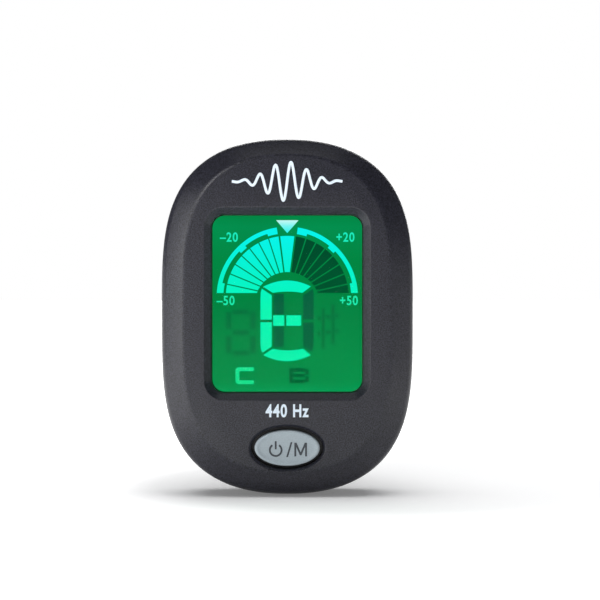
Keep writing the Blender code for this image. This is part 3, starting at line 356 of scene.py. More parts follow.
print("finishes")
casingPlastic = plasticFinish(
    "casingPlastic", (linear(3, 3, 7), linear(47, 47, 58)), (0.28, 0.34), 0.17 * mm, 0.02 * mm,
    specular=0.44
)
clipPlastic = plasticFinish(
    "clipPlastic", (linear(26, 26, 29), linear(44, 44, 48)), (0.4, 0.52), 0.2 * mm, 0.01 * mm
)
keyPlastic = plasticFinish(
    "keyPlastic", (linear(152, 163, 169), linear(168, 180, 187)), (0.38, 0.46), 0.12 * mm, 0.003 * mm
)
blackPlastic = plasticFinish(
    "blackPlastic", (linear(12, 12, 14), linear(20, 20, 22)), (0.3, 0.42), 0.3 * mm, 0.004 * mm
)
padRubber = plasticFinish(
    "padRubber", (linear(28, 28, 30), linear(42, 42, 44)), (0.75, 0.9), 0.25 * mm, 0.02 * mm, 0.3
)
printWhite = plasticFinish(
    "printWhite", (linear(212, 226, 238), linear(222, 234, 244)), (0.5, 0.6), 0.2 * mm, 0.001 * mm
)
printGrey = plasticFinish(
    "printGrey", (linear(52, 56, 62), linear(66, 70, 76)), (0.5, 0.6), 0.2 * mm, 0.001 * mm
)
# painted shade: the black of the band round the lens, standing in for the window wall's shadow
shadeLineBlack = plasticFinish(
    "shadeLineBlack", (linear(4, 6, 6), linear(8, 10, 10)), (0.4, 0.5), 0.3 * mm, 0.001 * mm
)
screwSteel = metalFinish("screwSteel", linear(150, 150, 152), 0.3)
pinSteel = metalFinish("pinSteel", linear(196, 196, 198), 0.22, (8, 1, 1))
springSteel = metalFinish("springSteel", linear(176, 176, 180), 0.25)
cellSteel = metalFinish("cellSteel", linear(205, 206, 208), 0.24, (1, 1, 6))
contactBrass = metalFinish("contactBrass", linear(214, 178, 96), 0.3)
lensClear = clearFinish("lensClear", linear(6, 14, 10), 0.03, 0.06, 0.5)


# ---------------- head

headShape = {
    "powers": (2.27, 3.62),
    "segments": 240,
    "sideMargin": 3.4 * mm,
    "topMargin": 2.6 * mm,
    "bottomMargin": 3.5 * mm,
    "slopeDepth": 2.35 * mm,
    "ridgeRound": 0.4 * mm,
    "sideRound": 0.9 * mm,
    "wall": 1.5 * mm,
    "parting": 6.3 * mm,
    "seam": 0.15 * mm,
    "backRound": 2.5 * mm,
}


def outlineLoop(bm, inset, depth):
    return ovalLoop(
        bm, halfWide - inset, halfTall - inset, depth,
        powers=headShape["powers"], segments=headShape["segments"],
    )


def faceLoop(bm, inset, depth):
    top, bottom = headShape["topMargin"], headShape["bottomMargin"]
    return ovalLoop(
        bm, halfWide - headShape["sideMargin"] - inset, halfTall - (top + bottom) / 2 - inset,
        depth, (bottom - top) / 2, headShape["powers"], headShape["segments"],
    )


window = {
    "wide": 11.45 * mm,
    "tall": 13.45 * mm,
    "lift": 1.94 * mm,
    "corner": 2.0 * mm,
    "slope": 1.05 * mm,
    "slopeDepth": 1.0 * mm,
}
buttonSeat = {
    "drop": 19.76 * mm,
    "wide": 4.9 * mm,
    "tall": 2.67 * mm,
    "gap": 0.55 * mm,
    "slope": 0.35 * mm,
}


def makeFrontShell():
    bm = bmesh.new()
    ridge = faceLoop(bm, 0, 0)
    side = outlineLoop(bm, 0, headShape["slopeDepth"])
    skin(bm, [ridge, side, outlineLoop(bm, 0, headShape["parting"])])
    roundOver(bm, ridge, headShape["ridgeRound"], 4)
    roundOver(bm, edgesBetween(bm, onSideLine), headShape["sideRound"], 8)
    shell = addPiece("frontShell", bm, casingPlastic, "head", ["front_shell"])
    wall = headShape["wall"]
    hollow = bmesh.new()
    skin(hollow, [
        faceLoop(hollow, 0, wall),
        outlineLoop(hollow, wall + 0.5 * mm, wall + 2 * mm),
        outlineLoop(hollow, wall, wall + 2.8 * mm),
        outlineLoop(hollow, wall, headShape["parting"] + 1 * mm),
    ])
    opening = bmesh.new()
    skin(opening, [
        squareLoop(opening, window["wide"] + grow, window["tall"] + grow, window["corner"] + grow,
                   depth, window["lift"])
        for grow, depth in (
            (2 * window["slope"], -window["slopeDepth"]),
            (0, window["slopeDepth"]),
            (0, wall + 1 * mm),
        )
    ])
    well = bmesh.new()
    skin(well, [
        ovalLoop(well, buttonSeat["wide"] + buttonSeat["gap"] + grow,
                 buttonSeat["tall"] + buttonSeat["gap"] + grow, depth, -buttonSeat["drop"])
        for grow, depth in (
            (2 * buttonSeat["slope"], -buttonSeat["slope"]),
            (0, buttonSeat["slope"]),
            (0, wall + 1 * mm),
        )
    ])
    carve(shell, "DIFFERENCE", tool(hollow), tool(opening), tool(well))
    soften(shell, 0.09 * mm, 3)


def onSideLine(place):
    return abs(place.y - faceY - headShape["slopeDepth"]) < 1e-6


caseScrews = {
    "places": [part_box(f"case_screw_{i}") for i in range(1, 5)],
    "headRadius": 1.55 * mm,
    "headThick": 0.9 * mm,
    "wellGap": 0.2 * mm,
}
collar = {"bore": 6.53 * mm, "radius": 8.28 * mm, "proud": 1.9 * mm, "round": 0.5 * mm}
doorway = {
    "halfWide": 10.25 * mm,
    "gap": 0.15 * mm,
    "top": -1.7 * mm,
    "floor": 11.6 * mm,
    "tongue": 0.65 * mm,
    "tongueThick": 0.5 * mm,
    "travelRoom": 6.0 * mm,
}


def makeRearShell():
    bm = bmesh.new()
    front = headShape["parting"] + headShape["seam"]
    back = outlineLoop(bm, 0, headDeep)
    skin(bm, [outlineLoop(bm, 0, front), back])
    roundOver(bm, back, headShape["backRound"], 10)
    shell = addPiece("rearShell", bm, casingPlastic, "head", ["rear_shell"])
    wall = headShape["wall"]
    hollow = bmesh.new()
    skin(hollow, [
        outlineLoop(hollow, wall, front - 1 * mm),
        outlineLoop(hollow, wall, doorway["floor"] - 2.4 * mm),
        outlineLoop(hollow, wall + 1.3 * mm, doorway["floor"] - 0.5 * mm),
        outlineLoop(hollow, wall + 2.6 * mm, doorway["floor"]),
    ])
    ring = bmesh.new()
    spun(ring, [
        (0, collar["proud"]),
        (collar["radius"], collar["proud"]),
        (collar["radius"], -1.2 * mm),
        (0, -1.2 * mm),
    ], ballAt)
    bore = bmesh.new()
    rod(bore, ballAt - Vector((0, 8 * mm, 0)), ballAt + Vector((0, 8 * mm, 0)), collar["bore"], 96)
    bay = bmesh.new()
    edge, low = doorway["halfWide"] + doorway["gap"], -halfTall - 2 * mm
    top = doorway["top"] + doorway["gap"]
    headBrick(bay, 2 * edge, top - low, doorway["floor"] - 0.5 * mm, headDeep + 2 * mm,
              up=(top + low) / 2)
    groove = bmesh.new()
    reach = edge + doorway["tongue"]
    grooveTop = doorway["top"] - 1.5 * mm
    middle = doorway["floor"] + 0.95 * mm
    half = doorway["tongueThick"] / 2 + doorway["gap"]
    headBrick(groove, 2 * reach, grooveTop - low, middle - half, middle + half,
              up=(grooveTop + low) / 2)
    carve(shell, "DIFFERENCE", tool(hollow))
    carve(shell, "UNION", tool(ring))
    wells = []
    for lowest, highest in caseScrews["places"]:
        centre = (lowest + highest) / 2
        seat = Vector((centre.x, highest.y - caseScrews["headThick"] - 0.1 * mm, centre.z))
        bm = bmesh.new()
        rod(bm, seat, seat + Vector((0, 5 * mm, 0)), caseScrews["headRadius"] + caseScrews["wellGap"])
        wells.append(tool(bm))
    carve(shell, "DIFFERENCE", tool(bore), tool(bay), tool(groove), *wells)
    soften(shell, 0.12 * mm, 3)
    makeBayFloor()


def makeBayFloor():
    # the walls round the coin cell, seen when the battery door is off
    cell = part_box("coin_cell")
    centre = (cell[0] + cell[1]) / 2
    radius = (cell[1].x - cell[0].x) / 2 + 0.3 * mm
    bm = bmesh.new()
    spun(bm, [
        (radius + 0.8 * mm, headDeep - 2.6 * mm),
        (radius + 0.8 * mm, 7.9 * mm),
        (radius, 7.9 * mm),
        (radius, headDeep - 2.6 * mm),
    ], (centre.x, faceY, centre.z), closed=True)
    wall = addPiece("bayWall", bm, casingPlastic, "head")
    notch = bmesh.new()
    headBrick(notch, 5.2 * mm, 3.2 * mm, 0, headDeep + 1 * mm, up=centre.z - headZ + radius)
    carve(wall, "DIFFERENCE", tool(notch))
    soften(wall, 0.08 * mm, 2)


batteryDoor = {"ribs": 5, "ribPitch": 1.5 * mm, "ribWide": 9.0 * mm, "ribProud": 0.3 * mm}


def makeBatteryDoor():
    bm = bmesh.new()
    back = outlineLoop(bm, 0, headDeep)
    skin(bm, [outlineLoop(bm, 0, 7 * mm), back])
    roundOver(bm, back, headShape["backRound"], 10)
    door = addPiece("batteryDoor", bm, casingPlastic, "battery_door", ["battery_door"])
    plate = bmesh.new()
    top, low = doorway["top"], -halfTall - 2 * mm
    inner = doorway["floor"] + doorway["gap"]
    headBrick(plate, 2 * doorway["halfWide"], top - low, inner, headDeep + 3 * mm,
              up=(top + low) / 2)
    carve(door, "INTERSECT", tool(plate))
    tongues = bmesh.new()
    middle = doorway["floor"] + 0.95 * mm
    half = doorway["tongueThick"] / 2
    tongueTop, tongueLow = top - 1.65 * mm, -20.0 * mm
    headBrick(tongues, 2 * (doorway["halfWide"] + doorway["tongue"]), tongueTop - tongueLow,
              middle - half, middle + half, up=(tongueTop + tongueLow) / 2)
    arrow = bmesh.new()
    arrowPoints = ((-2.2, -8.4), (2.2, -8.4), (0, -10.9))
    makePatch(arrow, arrowPoints, headDeep + 0.16 * mm)
    thicken(arrow, -0.6 * mm)
    grip = []
    for i in range(batteryDoor["ribs"]):
        rib = bmesh.new()
        up = -13.2 * mm - i * batteryDoor["ribPitch"]
        half = batteryDoor["ribWide"] / 2 * (1 - 0.08 * i)
        rod(rib, headPlace(-half, headDeep, up), headPlace(half, headDeep, up),
            batteryDoor["ribProud"], 24)
        grip.append(tool(rib))
    carve(door, "UNION", tool(tongues), tool(arrow), *grip)
    soften(door, 0.08 * mm, 3, 50)


# ---------------- window and display

def makeWindow():
    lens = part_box("window_lens")
    front, back = lens[0].y - faceY, lens[1].y - faceY
    bm = bmesh.new()
    rim = squareLoop(bm, (lens[1].x - lens[0].x) / 2, (lens[1].z - lens[0].z) / 2, 2 * mm,
                     front, window["lift"])
    skin(bm, [
        rim,
        squareLoop(bm, (lens[1].x - lens[0].x) / 2, (lens[1].z - lens[0].z) / 2, 2 * mm,
                   back, window["lift"]),
    ])
    roundOver(bm, rim, 0.15 * mm, 3)
    addPiece("windowLens", bm, lensClear, "head", ["window_lens"])
    # a black band round the lens, painted shade for the shadow that the window's inner wall throws on the
    # display's edge
    mask = bmesh.new()
    front = back + 0.01 * mm
    skin(mask, [
        squareLoop(mask, window["wide"] + grow, window["tall"] + grow, window["corner"] + grow,
                   front, window["lift"])
        for grow in (0.7 * mm, -0.1 * mm)
    ], capped=False)
    thicken(mask, 0.03 * mm)
    addPiece("lensShadeBand", mask, shadeLineBlack, "head")


def makePatch(bm, corners, depth):
    # a flat shape from its corners, in millimetres on the head
    return bm.faces.new([bm.verts.new(headPlace(x * mm, depth, z * mm)) for x, z in corners])


def makeBar(bm, left, right, low, high, depth):
    return makePatch(bm, ((left, low), (right, low), (right, high), (left, high)), depth)


def thicken(bm, thickness):
    grown = bmesh.ops.extrude_face_region(bm, geom=bm.faces[:])["geom"]
    moved = [part for part in grown if isinstance(part, bmesh.types.BMVert)]
    bmesh.ops.translate(bm, verts=moved, vec=(0, thickness, 0))
    bmesh.ops.recalc_face_normals(bm, faces=bm.faces)


def bowed(start, end, rise, steps=14):
    # points from start to end on a shallow arch
    points = []
    for i in range(steps + 1):
        u = 2 * i / steps - 1
        points.append((
            start[0] + (end[0] - start[0]) * (u + 1) / 2,
            start[1] + (end[1] - start[1]) * (u + 1) / 2 + rise * (1 - u * u),
        ))
    return points


dial = {
    "centre": 2.88,
    "outer": 10.72,
    "thin": 0.64,
    "thick": 1.02,
    "cut": 3.54,
    "gap": 8.6,
    "thickSpans": ((8.6, 17.4), (39.2, 46.2), (77.5, 89.5)),
    "wedgeOuter": 9.33,
    "wedgeInner": 4.95,
    "innerDrop": 1.11,
    "wedgeFirst": 7.1,
    "wedgePitch": 10.0,
    "wedgeGap": 0.09,
    "wedges": 8,
}
segmentDepth = {"front": 2.505 * mm, "thick": 0.025 * mm}


def sector(bm, inner, outer, start, end, steps=12):
    # a piece of ring round the dial's centre, from the top and towards +X, in degrees
    front = segmentDepth["front"]
    verts = [
        bm.verts.new(headPlace(r * sin(radians(start)) * mm, front,
                               (dial["centre"] + r * cos(radians(start))) * mm))
        for r in (inner, outer)
    ]
    edge = bm.edges.new(verts)
    bmesh.ops.spin(
        bm, geom=[*verts, edge], cent=headPlace(0, front, dial["centre"] * mm), axis=(0, 1, 0),
        dvec=(0, 0, 0), angle=radians(end - start), steps=steps, use_duplicate=False,
    )


def cutBelowDial(bm):
    bmesh.ops.bisect_plane(
        bm, geom=bm.verts[:] + bm.edges[:] + bm.faces[:],
        plane_co=headPlace(0, 0, dial["cut"] * mm), plane_no=(0, 0, -1), clear_outer=True,
    )


def makeDialRing(side):
    bm = bmesh.new()
    outer = dial["outer"]
    corners = [dial["gap"], *[a for span in dial["thickSpans"] for a in span][1:]]
    for start, end in zip(corners, corners[1:]):
        thick = any(a <= start and end <= b for a, b in dial["thickSpans"])
        inner = outer - (dial["thick"] if thick else dial["thin"])
        sector(bm, inner, outer, side * start, side * end, max(3, round((end - start) / 1.5)))
    cutBelowDial(bm)
    return bm


def innerRadius(angle):
    drop, radius = dial["innerDrop"], dial["wedgeInner"]
    return -drop * cos(angle) + sqrt(radius ** 2 - (drop * sin(angle)) ** 2)


def makeWedge(bm, start, end):
    # a dial wedge between two angles, its inner end on the lower arc and its sides parted
    front, steps = segmentDepth["front"], 6
    sideGap = dial["wedgeGap"]
    shape = []
    for outward in (True, False):
        turns = range(steps + 1) if outward else range(steps, -1, -1)
        for i in turns:
            angle = radians(start + (end - start) * i / steps)
            r = dial["wedgeOuter"] if outward else innerRadius(angle)
            shift = sideGap * (1 - 2 * i / steps)
            shape.append((
                r * sin(angle) + shift * cos(angle),
                dial["centre"] + r * cos(angle) - shift * sin(angle),
            ))
    makePatch(bm, shape, front)


def makeWedges(side):
    bm = bmesh.new()
    for i in range(dial["wedges"]):
        start = dial["wedgeFirst"] + 0.55 + i * dial["wedgePitch"]
        end = start + dial["wedgePitch"]
        if side > 0:
            makeWedge(bm, start, end)
        else:
            makeWedge(bm, -end, -start)
    cutBelowDial(bm)
    return bm


# shapes of the note display, in millimetres across and up
noteShapes = {
    "topBar": bowed((-3.66, 4.5), (3.58, 4.54), 0.92) + bowed((2.3, 3.56), (-2.18, 3.56), 0.2, 8),
    "bottomBar": bowed((-3.66, -5.88), (3.58, -5.88), -0.93)
    + bowed((2.36, -4.9), (-2.2, -4.9), -0.28, 8),
    "leftUpper": ((-3.86, 4.2), (-4.02, 3.7), (-4.07, 2.6), (-4.07, -0.5), (-2.36, -0.5), (-2.36, 3.2)),
    "leftLower": ((-4.07, -0.9), (-4.07, -4.3), (-3.98, -5.1), (-3.74, -5.5), (-2.36, -4.58), (-2.36, -0.9)),
}
noteBars = ((-2.15, -0.46, -1.43, 0.16), (-0.14, 2.1, -1.43, 0.16))
ghostNoteShapes = (
    ((3.86, 4.15), (4.0, 3.6), (4.0, -0.5), (2.4, -0.5), (2.4, 3.2)),
    ((4.0, -0.92), (4.0, -4.4), (3.74, -5.4), (2.4, -4.58), (2.4, -0.92)),
)
ghostNoteBars = ((-2.05, -0.5, 0.34, 3.42), (-2.05, -0.5, -4.66, -1.6))
letterC = (
    (-5.06, -7.72), (-7.5, -7.72), (-7.86, -8.05), (-7.86, -9.96), (-7.5, -10.3), (-5.06, -10.3),
    (-5.06, -9.7), (-7.26, -9.7), (-7.26, -8.32), (-5.06, -8.32),
)
ghostLetterB = (
    (0.32, 0.9, -10.14, -7.84), (0.96, 2.66, -8.4, -7.84), (0.96, 2.66, -9.24, -8.74),
    (0.96, 2.66, -10.14, -9.6), (2.72, 3.26, -8.9, -8.0), (2.72, 3.26, -9.98, -9.08),
)
ghostDigitBars = (
    (-8.3, -5.8, 0.3, 1.0), (-8.3, -5.8, -2.8, -2.1), (-8.3, -5.8, -5.9, -5.2),
    (-9.3, -8.5, -1.95, 0.7), (-5.6, -4.8, -1.95, 0.7), (-9.3, -8.5, -5.6, -2.95),
    (-5.6, -4.8, -5.6, -2.95),
)
ghostSharpBars = (
    (5.2, 5.7, -4.9, 1.2), (6.7, 7.2, -4.3, 1.9), (4.6, 5.1, -0.6, 0.0), (5.8, 6.6, -0.4, 0.2),
    (7.3, 7.8, -0.2, 0.4), (4.6, 5.1, -2.9, -2.3), (5.8, 6.6, -2.7, -2.1), (7.3, 7.8, -2.5, -1.9),
)


def lettering(bm, words, size, across, up, front, thick, weight=0.0):
    # flat letters that fill a size (wide, tall), centred on a place on the head
    curve = bpy.data.curves.new("words", "FONT")
    curve.body = words
    curve.extrude = 0.5
    curve.offset = weight
    curve.space_character = 1.14
    curve.resolution_u = 6
    holder = bpy.data.objects.new("words", curve)
    bpy.context.scene.collection.objects.link(holder)
    graph = bpy.context.evaluated_depsgraph_get()
    mesh = bpy.data.meshes.new_from_object(holder.evaluated_get(graph))
    bpy.data.objects.remove(holder)
    xs, ys = ([vert.co[k] for vert in mesh.vertices] for k in (0, 1))
    scale = (size[0] / (max(xs) - min(xs)), size[1] / (max(ys) - min(ys)))
    middle = Vector(((max(xs) + min(xs)) / 2, (max(ys) + min(ys)) / 2, 0))
    fit = (
        Matrix.Translation(headPlace(across, front + thick / 2, up))
        @ Matrix.Rotation(pi / 2, 4, "X")
        @ Matrix.Diagonal((*scale, thick, 1))
        @ Matrix.Translation(-middle)
    )
    mesh.transform(fit)
    bm.from_mesh(mesh)
    bpy.data.meshes.remove(mesh)


dialLabels = (
    ("\u201320", -8.86, 12.02), ("+20", 8.82, 12.02), ("\u201350", -9.36, 2.41), ("+50", 9.34, 2.41),
)
labelSize = (2.74 * mm, 1.46 * mm)


def makeDisplay():
    front, thick = segmentDepth["front"], segmentDepth["thick"]
    cyan, mint, deep = linear(8, 251, 242), linear(8, 252, 186), linear(8, 246, 176)
    lit = glowFinish("displayLit", (0.0, deep), (0.45, mint), (0.8, linear(8, 250, 222)),
                     (1.0, cyan), low=-7 * mm, high=12.5 * mm)
    marker = glowFinish("displayMarker", (0.0, linear(30, 250, 244)), (0.55, linear(120, 252, 246)),
                        (1.0, linear(196, 255, 250)), low=12.7 * mm, high=14.5 * mm)
    words = glowFinish("displayWords", (0.0, linear(30, 240, 176)), (1.0, linear(30, 242, 196)),
                       low=1.0 * mm, high=13.0 * mm)
    letter = glowFinish("displayLetter", (0.0, linear(22, 226, 142)), (1.0, linear(22, 230, 150)),
                        low=-10 * mm, high=-7.5 * mm)
    dark = glowFinish("displayDark", (0.0, linear(1, 86, 48)), (1.0, linear(1, 78, 46)),
                      low=3 * mm, high=12 * mm, patch=0.12)
    ghost = glowFinish("displayGhost", (0.0, linear(4, 106, 62)), (1.0, linear(6, 98, 64)),
                       low=-6 * mm, high=5 * mm)
    faint = glowFinish("displayFaint", (0.0, linear(3, 118, 60)), (1.0, linear(4, 114, 60)),
                       low=-6 * mm, high=2 * mm)
    ghostB = glowFinish("displayGhostLetter", (0.0, linear(1, 98, 50)), (1.0, linear(1, 100, 54)),
                        low=-10 * mm, high=-7.5 * mm)

    rings = makeDialRing(-1)
    sides = [makeDialRing(1)]
    for more in sides:
        joinInto(rings, more)
    thicken(rings, thick)
    addPiece("dialRing", rings, lit, "head")

    wedges = makeWedges(-1)
    makeWedge(wedges, -dial["wedgeFirst"], dial["wedgeFirst"])
    thicken(wedges, thick)
    addPiece("dialWedgesLit", wedges, lit, "head")
    wedges = makeWedges(1)
    thicken(wedges, thick)
    addPiece("dialWedgesDark", wedges, dark, "head")

    bm = bmesh.new()
    makePatch(bm, ((-1.68, 14.58), (0, 12.62), (1.7, 14.58)), front)
    thicken(bm, thick)
    addPiece("dialMarker", bm, marker, "head")

    bm = bmesh.new()
    for shape in noteShapes.values():
        makePatch(bm, shape, front)
    for bar in noteBars:
        makeBar(bm, *bar, front)
    thicken(bm, thick)
    addPiece("noteLit", bm, lit, "head")
    bm = bmesh.new()
    for shape in ghostNoteShapes:
        makePatch(bm, shape, front)
    for bar in ghostNoteBars:
        makeBar(bm, *bar, front)
    thicken(bm, thick)
    addPiece("noteGhost", bm, ghost, "head")
    bm = bmesh.new()
    makePatch(bm, letterC, front)
    thicken(bm, thick)
    addPiece("modeLetterLit", bm, letter, "head")
    for name, bars, finish in (
        ("modeLetterGhost", ghostLetterB, ghostB),
        ("digitGhost", ghostDigitBars, faint),
        ("sharpGhost", ghostSharpBars, faint),
    ):
        bm = bmesh.new()
        for bar in bars:
            makeBar(bm, *bar, front)
        thicken(bm, thick)
        addPiece(name, bm, finish, "head")

    bm = bmesh.new()
    for words_, across, up in dialLabels:
        lettering(bm, words_, labelSize, across * mm, up * mm, front, thick, 0.022)
    addPiece("dialLabels", bm, words, "head")


def joinInto(bm, other):
    mesh = bpy.data.meshes.new("part")
    other.to_mesh(mesh)
    other.free()
    bm.from_mesh(mesh)
    bpy.data.meshes.remove(mesh)


# ---------------- button

button = {"faceDepth": 0.02 * mm, "rimDepth": -0.15 * mm, "rim": 0.5 * mm}


def makeButton():
    wide, tall, drop = buttonSeat["wide"], buttonSeat["tall"], -buttonSeat["drop"]
    bm = bmesh.new()
    loops = [
        ovalLoop(bm, wide - inset, tall - inset, depth, drop)
        for inset, depth in (
            (0, 1.59 * mm),
            (0, 0.15 * mm),
            (0.06 * mm, -0.03 * mm),
            (0.2 * mm, -0.13 * mm),
            (0.36 * mm, button["rimDepth"]),
            (button["rim"], -0.11 * mm),
            (button["rim"] + 0.22 * mm, -0.01 * mm),
            (button["rim"] + 0.5 * mm, button["faceDepth"]),
        )
    ]
    skin(bm, loops)
    addPiece("buttonCap", bm, keyPlastic, "power_button", ["power_button"])
    bm = bmesh.new()
    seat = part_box("button_retainer")
    reach = (seat[1].x - seat[0].x) / 2
    front = seat[0].y - faceY
    rim = ovalLoop(bm, reach, (seat[1].z - seat[0].z) / 2, front, drop)
    skin(bm, [rim, ovalLoop(bm, reach, (seat[1].z - seat[0].z) / 2, front + 0.75 * mm, drop)])
    roundOver(bm, rim, 0.2 * mm, 3)
    # black plastic, whose black also paints the shade deep in the gap round the button
    flange = addPiece("buttonRetainer", bm, blackPlastic, "power_button", ["button_retainer"])
    post = bmesh.new()
    rod(post, headPlace(0, front + 0.4 * mm, drop), headPlace(0, seat[1].y - faceY, drop), 1.4 * mm)
    carve(flange, "UNION", tool(post))


slashShape = ((-0.47, -1.12), (-0.2, -1.12), (0.47, 1.12), (0.2, 1.12))
letterM = (
    (-0.95, -1.03), (-0.66, -1.03), (-0.66, 0.38), (-0.12, -0.86), (0.12, -0.86), (0.66, 0.38),
    (0.66, -1.03), (0.95, -1.03), (0.95, 1.03), (0.62, 1.03), (0, -0.4), (-0.62, 1.03), (-0.95, 1.03),
)
marks = {
    "waveHalf": 8.3,
    "waveHeight": 2.95,
    "wavePeriod": 2.35,
    "waveUp": 20.3,
    "stroke": 0.2 * mm,
    "pitchUp": -14.15 * mm,
    "pitchSize": (6.5 * mm, 2.0 * mm),
}


def makeMarks():
    # a sound wave above the window
    curve = bpy.data.curves.new("wave", "CURVE")
    curve.dimensions = "3D"
    curve.bevel_depth = marks["stroke"]
    curve.bevel_resolution = 2
    curve.use_fill_caps = True
    steps = 220
    spline = curve.splines.new("POLY")
    spline.points.add(steps)
    for i, point in enumerate(spline.points):
        x = marks["waveHalf"] * (2 * i / steps - 1)
        swell = exp(-((x / (0.5 * marks["waveHalf"])) ** 2))
        z = marks["waveUp"] + marks["waveHeight"] * swell * sin(tau * x / marks["wavePeriod"])
        point.co = (*headPlace(x * mm, 0, z * mm), 1)
    holder = bpy.data.objects.new("wave", curve)
    bpy.context.scene.collection.objects.link(holder)
    graph = bpy.context.evaluated_depsgraph_get()
    mesh = bpy.data.meshes.new_from_object(holder.evaluated_get(graph))
    bpy.data.objects.remove(holder)
    bm = bmesh.new()
    bm.from_mesh(mesh)
    bpy.data.meshes.remove(mesh)
    for vert in bm.verts:  # pressed flat on the face
        vert.co.y = faceY + 0.1 * (vert.co.y - faceY) - 0.005 * mm
    addPiece("waveMark", bm, printWhite, "head")
    bm = bmesh.new()
    lettering(bm, "440 Hz", marks["pitchSize"], 0, marks["pitchUp"], -0.02 * mm, 0.03 * mm, 0.03)
    addPiece("pitchMark", bm, printWhite, "head")

    # the power sign and the mode letter on the button
    bm = bmesh.new()
    front, drop = button["faceDepth"] - 0.02 * mm, buttonSeat["drop"] / mm
    ringAt = (-1.72, -0.3 - drop)
    centre = headPlace(ringAt[0] * mm, front, ringAt[1] * mm)
    verts = [
        bm.verts.new(centre + Vector((r * sin(radians(34)), 0, r * cos(radians(34)))))
        for r in (0.74 * mm, 1.03 * mm)
    ]
    bmesh.ops.spin(
        bm, geom=[*verts, bm.edges.new(verts)], cent=centre, axis=(0, 1, 0), dvec=(0, 0, 0),
        angle=radians(292), steps=36, use_duplicate=False,
    )
    makeBar(bm, ringAt[0] - 0.14, ringAt[0] + 0.14, ringAt[1] + 0.12, ringAt[1] + 1.34, front)
    for shape, across in ((slashShape, 0.33), (letterM, 2.03)):
        makePatch(bm, [(x + across, z - 0.22 - drop) for x, z in shape], front)
    thicken(bm, 0.03 * mm)
    addPiece("buttonMark", bm, printGrey, "power_button")


# ---------------- screws

def crossDrive(centre, depth, wide, reach):
    cuts = []
    for x, z in ((wide, reach), (reach, wide)):
        bm = bmesh.new()
        brick(bm, centre + Vector((-x, -depth, -z)), centre + Vector((x, depth, z)))
        cuts.append(tool(bm))
    return cuts


def makePanScrew(name, node, body, shank, headRadius, headThick, finish, tipSide=-1):
    # tipSide is -1 where the screw's point faces -Y
    low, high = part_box(node)
    centre = (low + high) / 2
    headY = high.y if tipSide < 0 else low.y
    tipY = low.y if tipSide < 0 else high.y
    length = abs(tipY - headY)
    profile = [
        (0, 0),
        (0.45 * headRadius, 0.04 * headThick),
        (0.8 * headRadius, 0.2 * headThick),
        (headRadius, 0.55 * headThick),
        (headRadius, headThick),
        (shank, headThick),
    ]
    turns = max(3, round((length - headThick - 2 * shank) / (0.5 * mm)))
    pitch = (length - headThick - 1.2 * shank) / turns
    for i in range(turns):
        start = headThick + 0.2 * shank + i * pitch
        profile += [(0.78 * shank, start + 0.25 * pitch), (shank, start + 0.75 * pitch)]
    profile += [(0.5 * shank, length - 0.3 * shank), (0, length)]
    bm = bmesh.new()
    spun(bm, [(r, headY - centre.y + tipSide * d) for r, d in profile], centre, segments=40)
    screw = addPiece(name, bm, finish, body, [node])
    top = Vector((centre.x, headY, centre.z))
    carve(screw, "DIFFERENCE", *crossDrive(top, 0.5 * headThick, 0.13 * headRadius, 0.55 * headRadius))


def makeScrews():
    for i in range(1, 5):
        makePanScrew(f"caseScrew{i}", f"case_screw_{i}", "head", 0.7 * mm, 1.55 * mm, 0.9 * mm,
                     screwSteel)
    makePanScrew("studScrew", "stud_screw", "clip_arm", 0.7 * mm, 1.9 * mm, 1.0 * mm, screwSteel)


# ---------------- ball joint

ballJoint = {"radius": 4.5 * mm, "stem": 2.4 * mm, "cupGap": 0.18 * mm, "cupWall": 1.7 * mm}


def makeBallJoint():
    stud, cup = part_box("ball_stud"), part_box("ball_cup")
    radius, stem = ballJoint["radius"], ballJoint["stem"]
    foot = stud[1].y - ballAt.y
    neck = asin(stem / radius)
    steps = 26
    profile = [(0, foot), (4.2 * mm, foot), (4.2 * mm, foot - 1.05 * mm)]
    for i in range(7):  # the flare from the foot into the stem
        a = pi / 2 * i / 6
        profile.append((stem + 1.1 * mm * (1 - sin(a)), foot - 1.5 * mm - 1.1 * mm * (1 - cos(a))))
    for i in range(steps + 1):
        a = neck + (pi - neck) * i / steps
        profile.append((radius * sin(a), radius * cos(a)))
    bm = bmesh.new()
    spun(bm, profile, ballAt)
    piece = addPiece("ballStud", bm, clipPlastic, "clip_arm", ["ball_stud"])
    hole = bmesh.new()
    rod(hole, ballAt + Vector((0, foot - 4.5 * mm, 0)), ballAt + Vector((0, foot + 1 * mm, 0)),
        0.85 * mm, 32)
    carve(piece, "DIFFERENCE", tool(hole))
    soften(piece, 0.12 * mm, 3, 40)

    inner = radius + ballJoint["cupGap"]
    outer = inner + ballJoint["cupWall"]
    front, back = cup[0].y - ballAt.y, cup[1].y - ballAt.y
    flangeBack = -2.05 * mm
    profile = [
        (outer, back), (outer, flangeBack), (outer + 0.6 * mm, flangeBack), (outer + 0.6 * mm, front),
    ]
    for i in range(17):
        depth = front + (back - front) * i / 16
        profile.append((sqrt(inner ** 2 - depth ** 2), depth))
    bm = bmesh.new()
    spun(bm, profile, ballAt, closed=True, segments=96)
    piece = addPiece("ballCup", bm, blackPlastic, "ball_cup", ["ball_cup"])
    soften(piece, 0.25 * mm, 4, 50)


# ---------------- clip

clip = {
    "wide": 15.0 * mm,
    "armThick": 3.2 * mm,
    "leverThick": 2.8 * mm,
    "tipRound": 3.0 * mm,
    "edgeRound": 0.7 * mm,
    "earRadius": 2.4 * mm,
    "earThick": 1.6 * mm,
    "armEar": 3.4 * mm,
    "leverEar": 5.2 * mm,
    "pinHole": 1.08 * mm,
    "bendStart": 8.0 * mm,
    "bendRise": 5.4 * mm,
    "pocket": 0.4 * mm,
}
armLow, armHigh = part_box("clip_front_arm")
armBackY = armLow.y + clip["armThick"]
padLow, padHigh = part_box("rear_jaw_pad")
leverY = padLow.y + 1.5 * mm  # the lever's inner face along the jaw
tailZ = armHigh.z


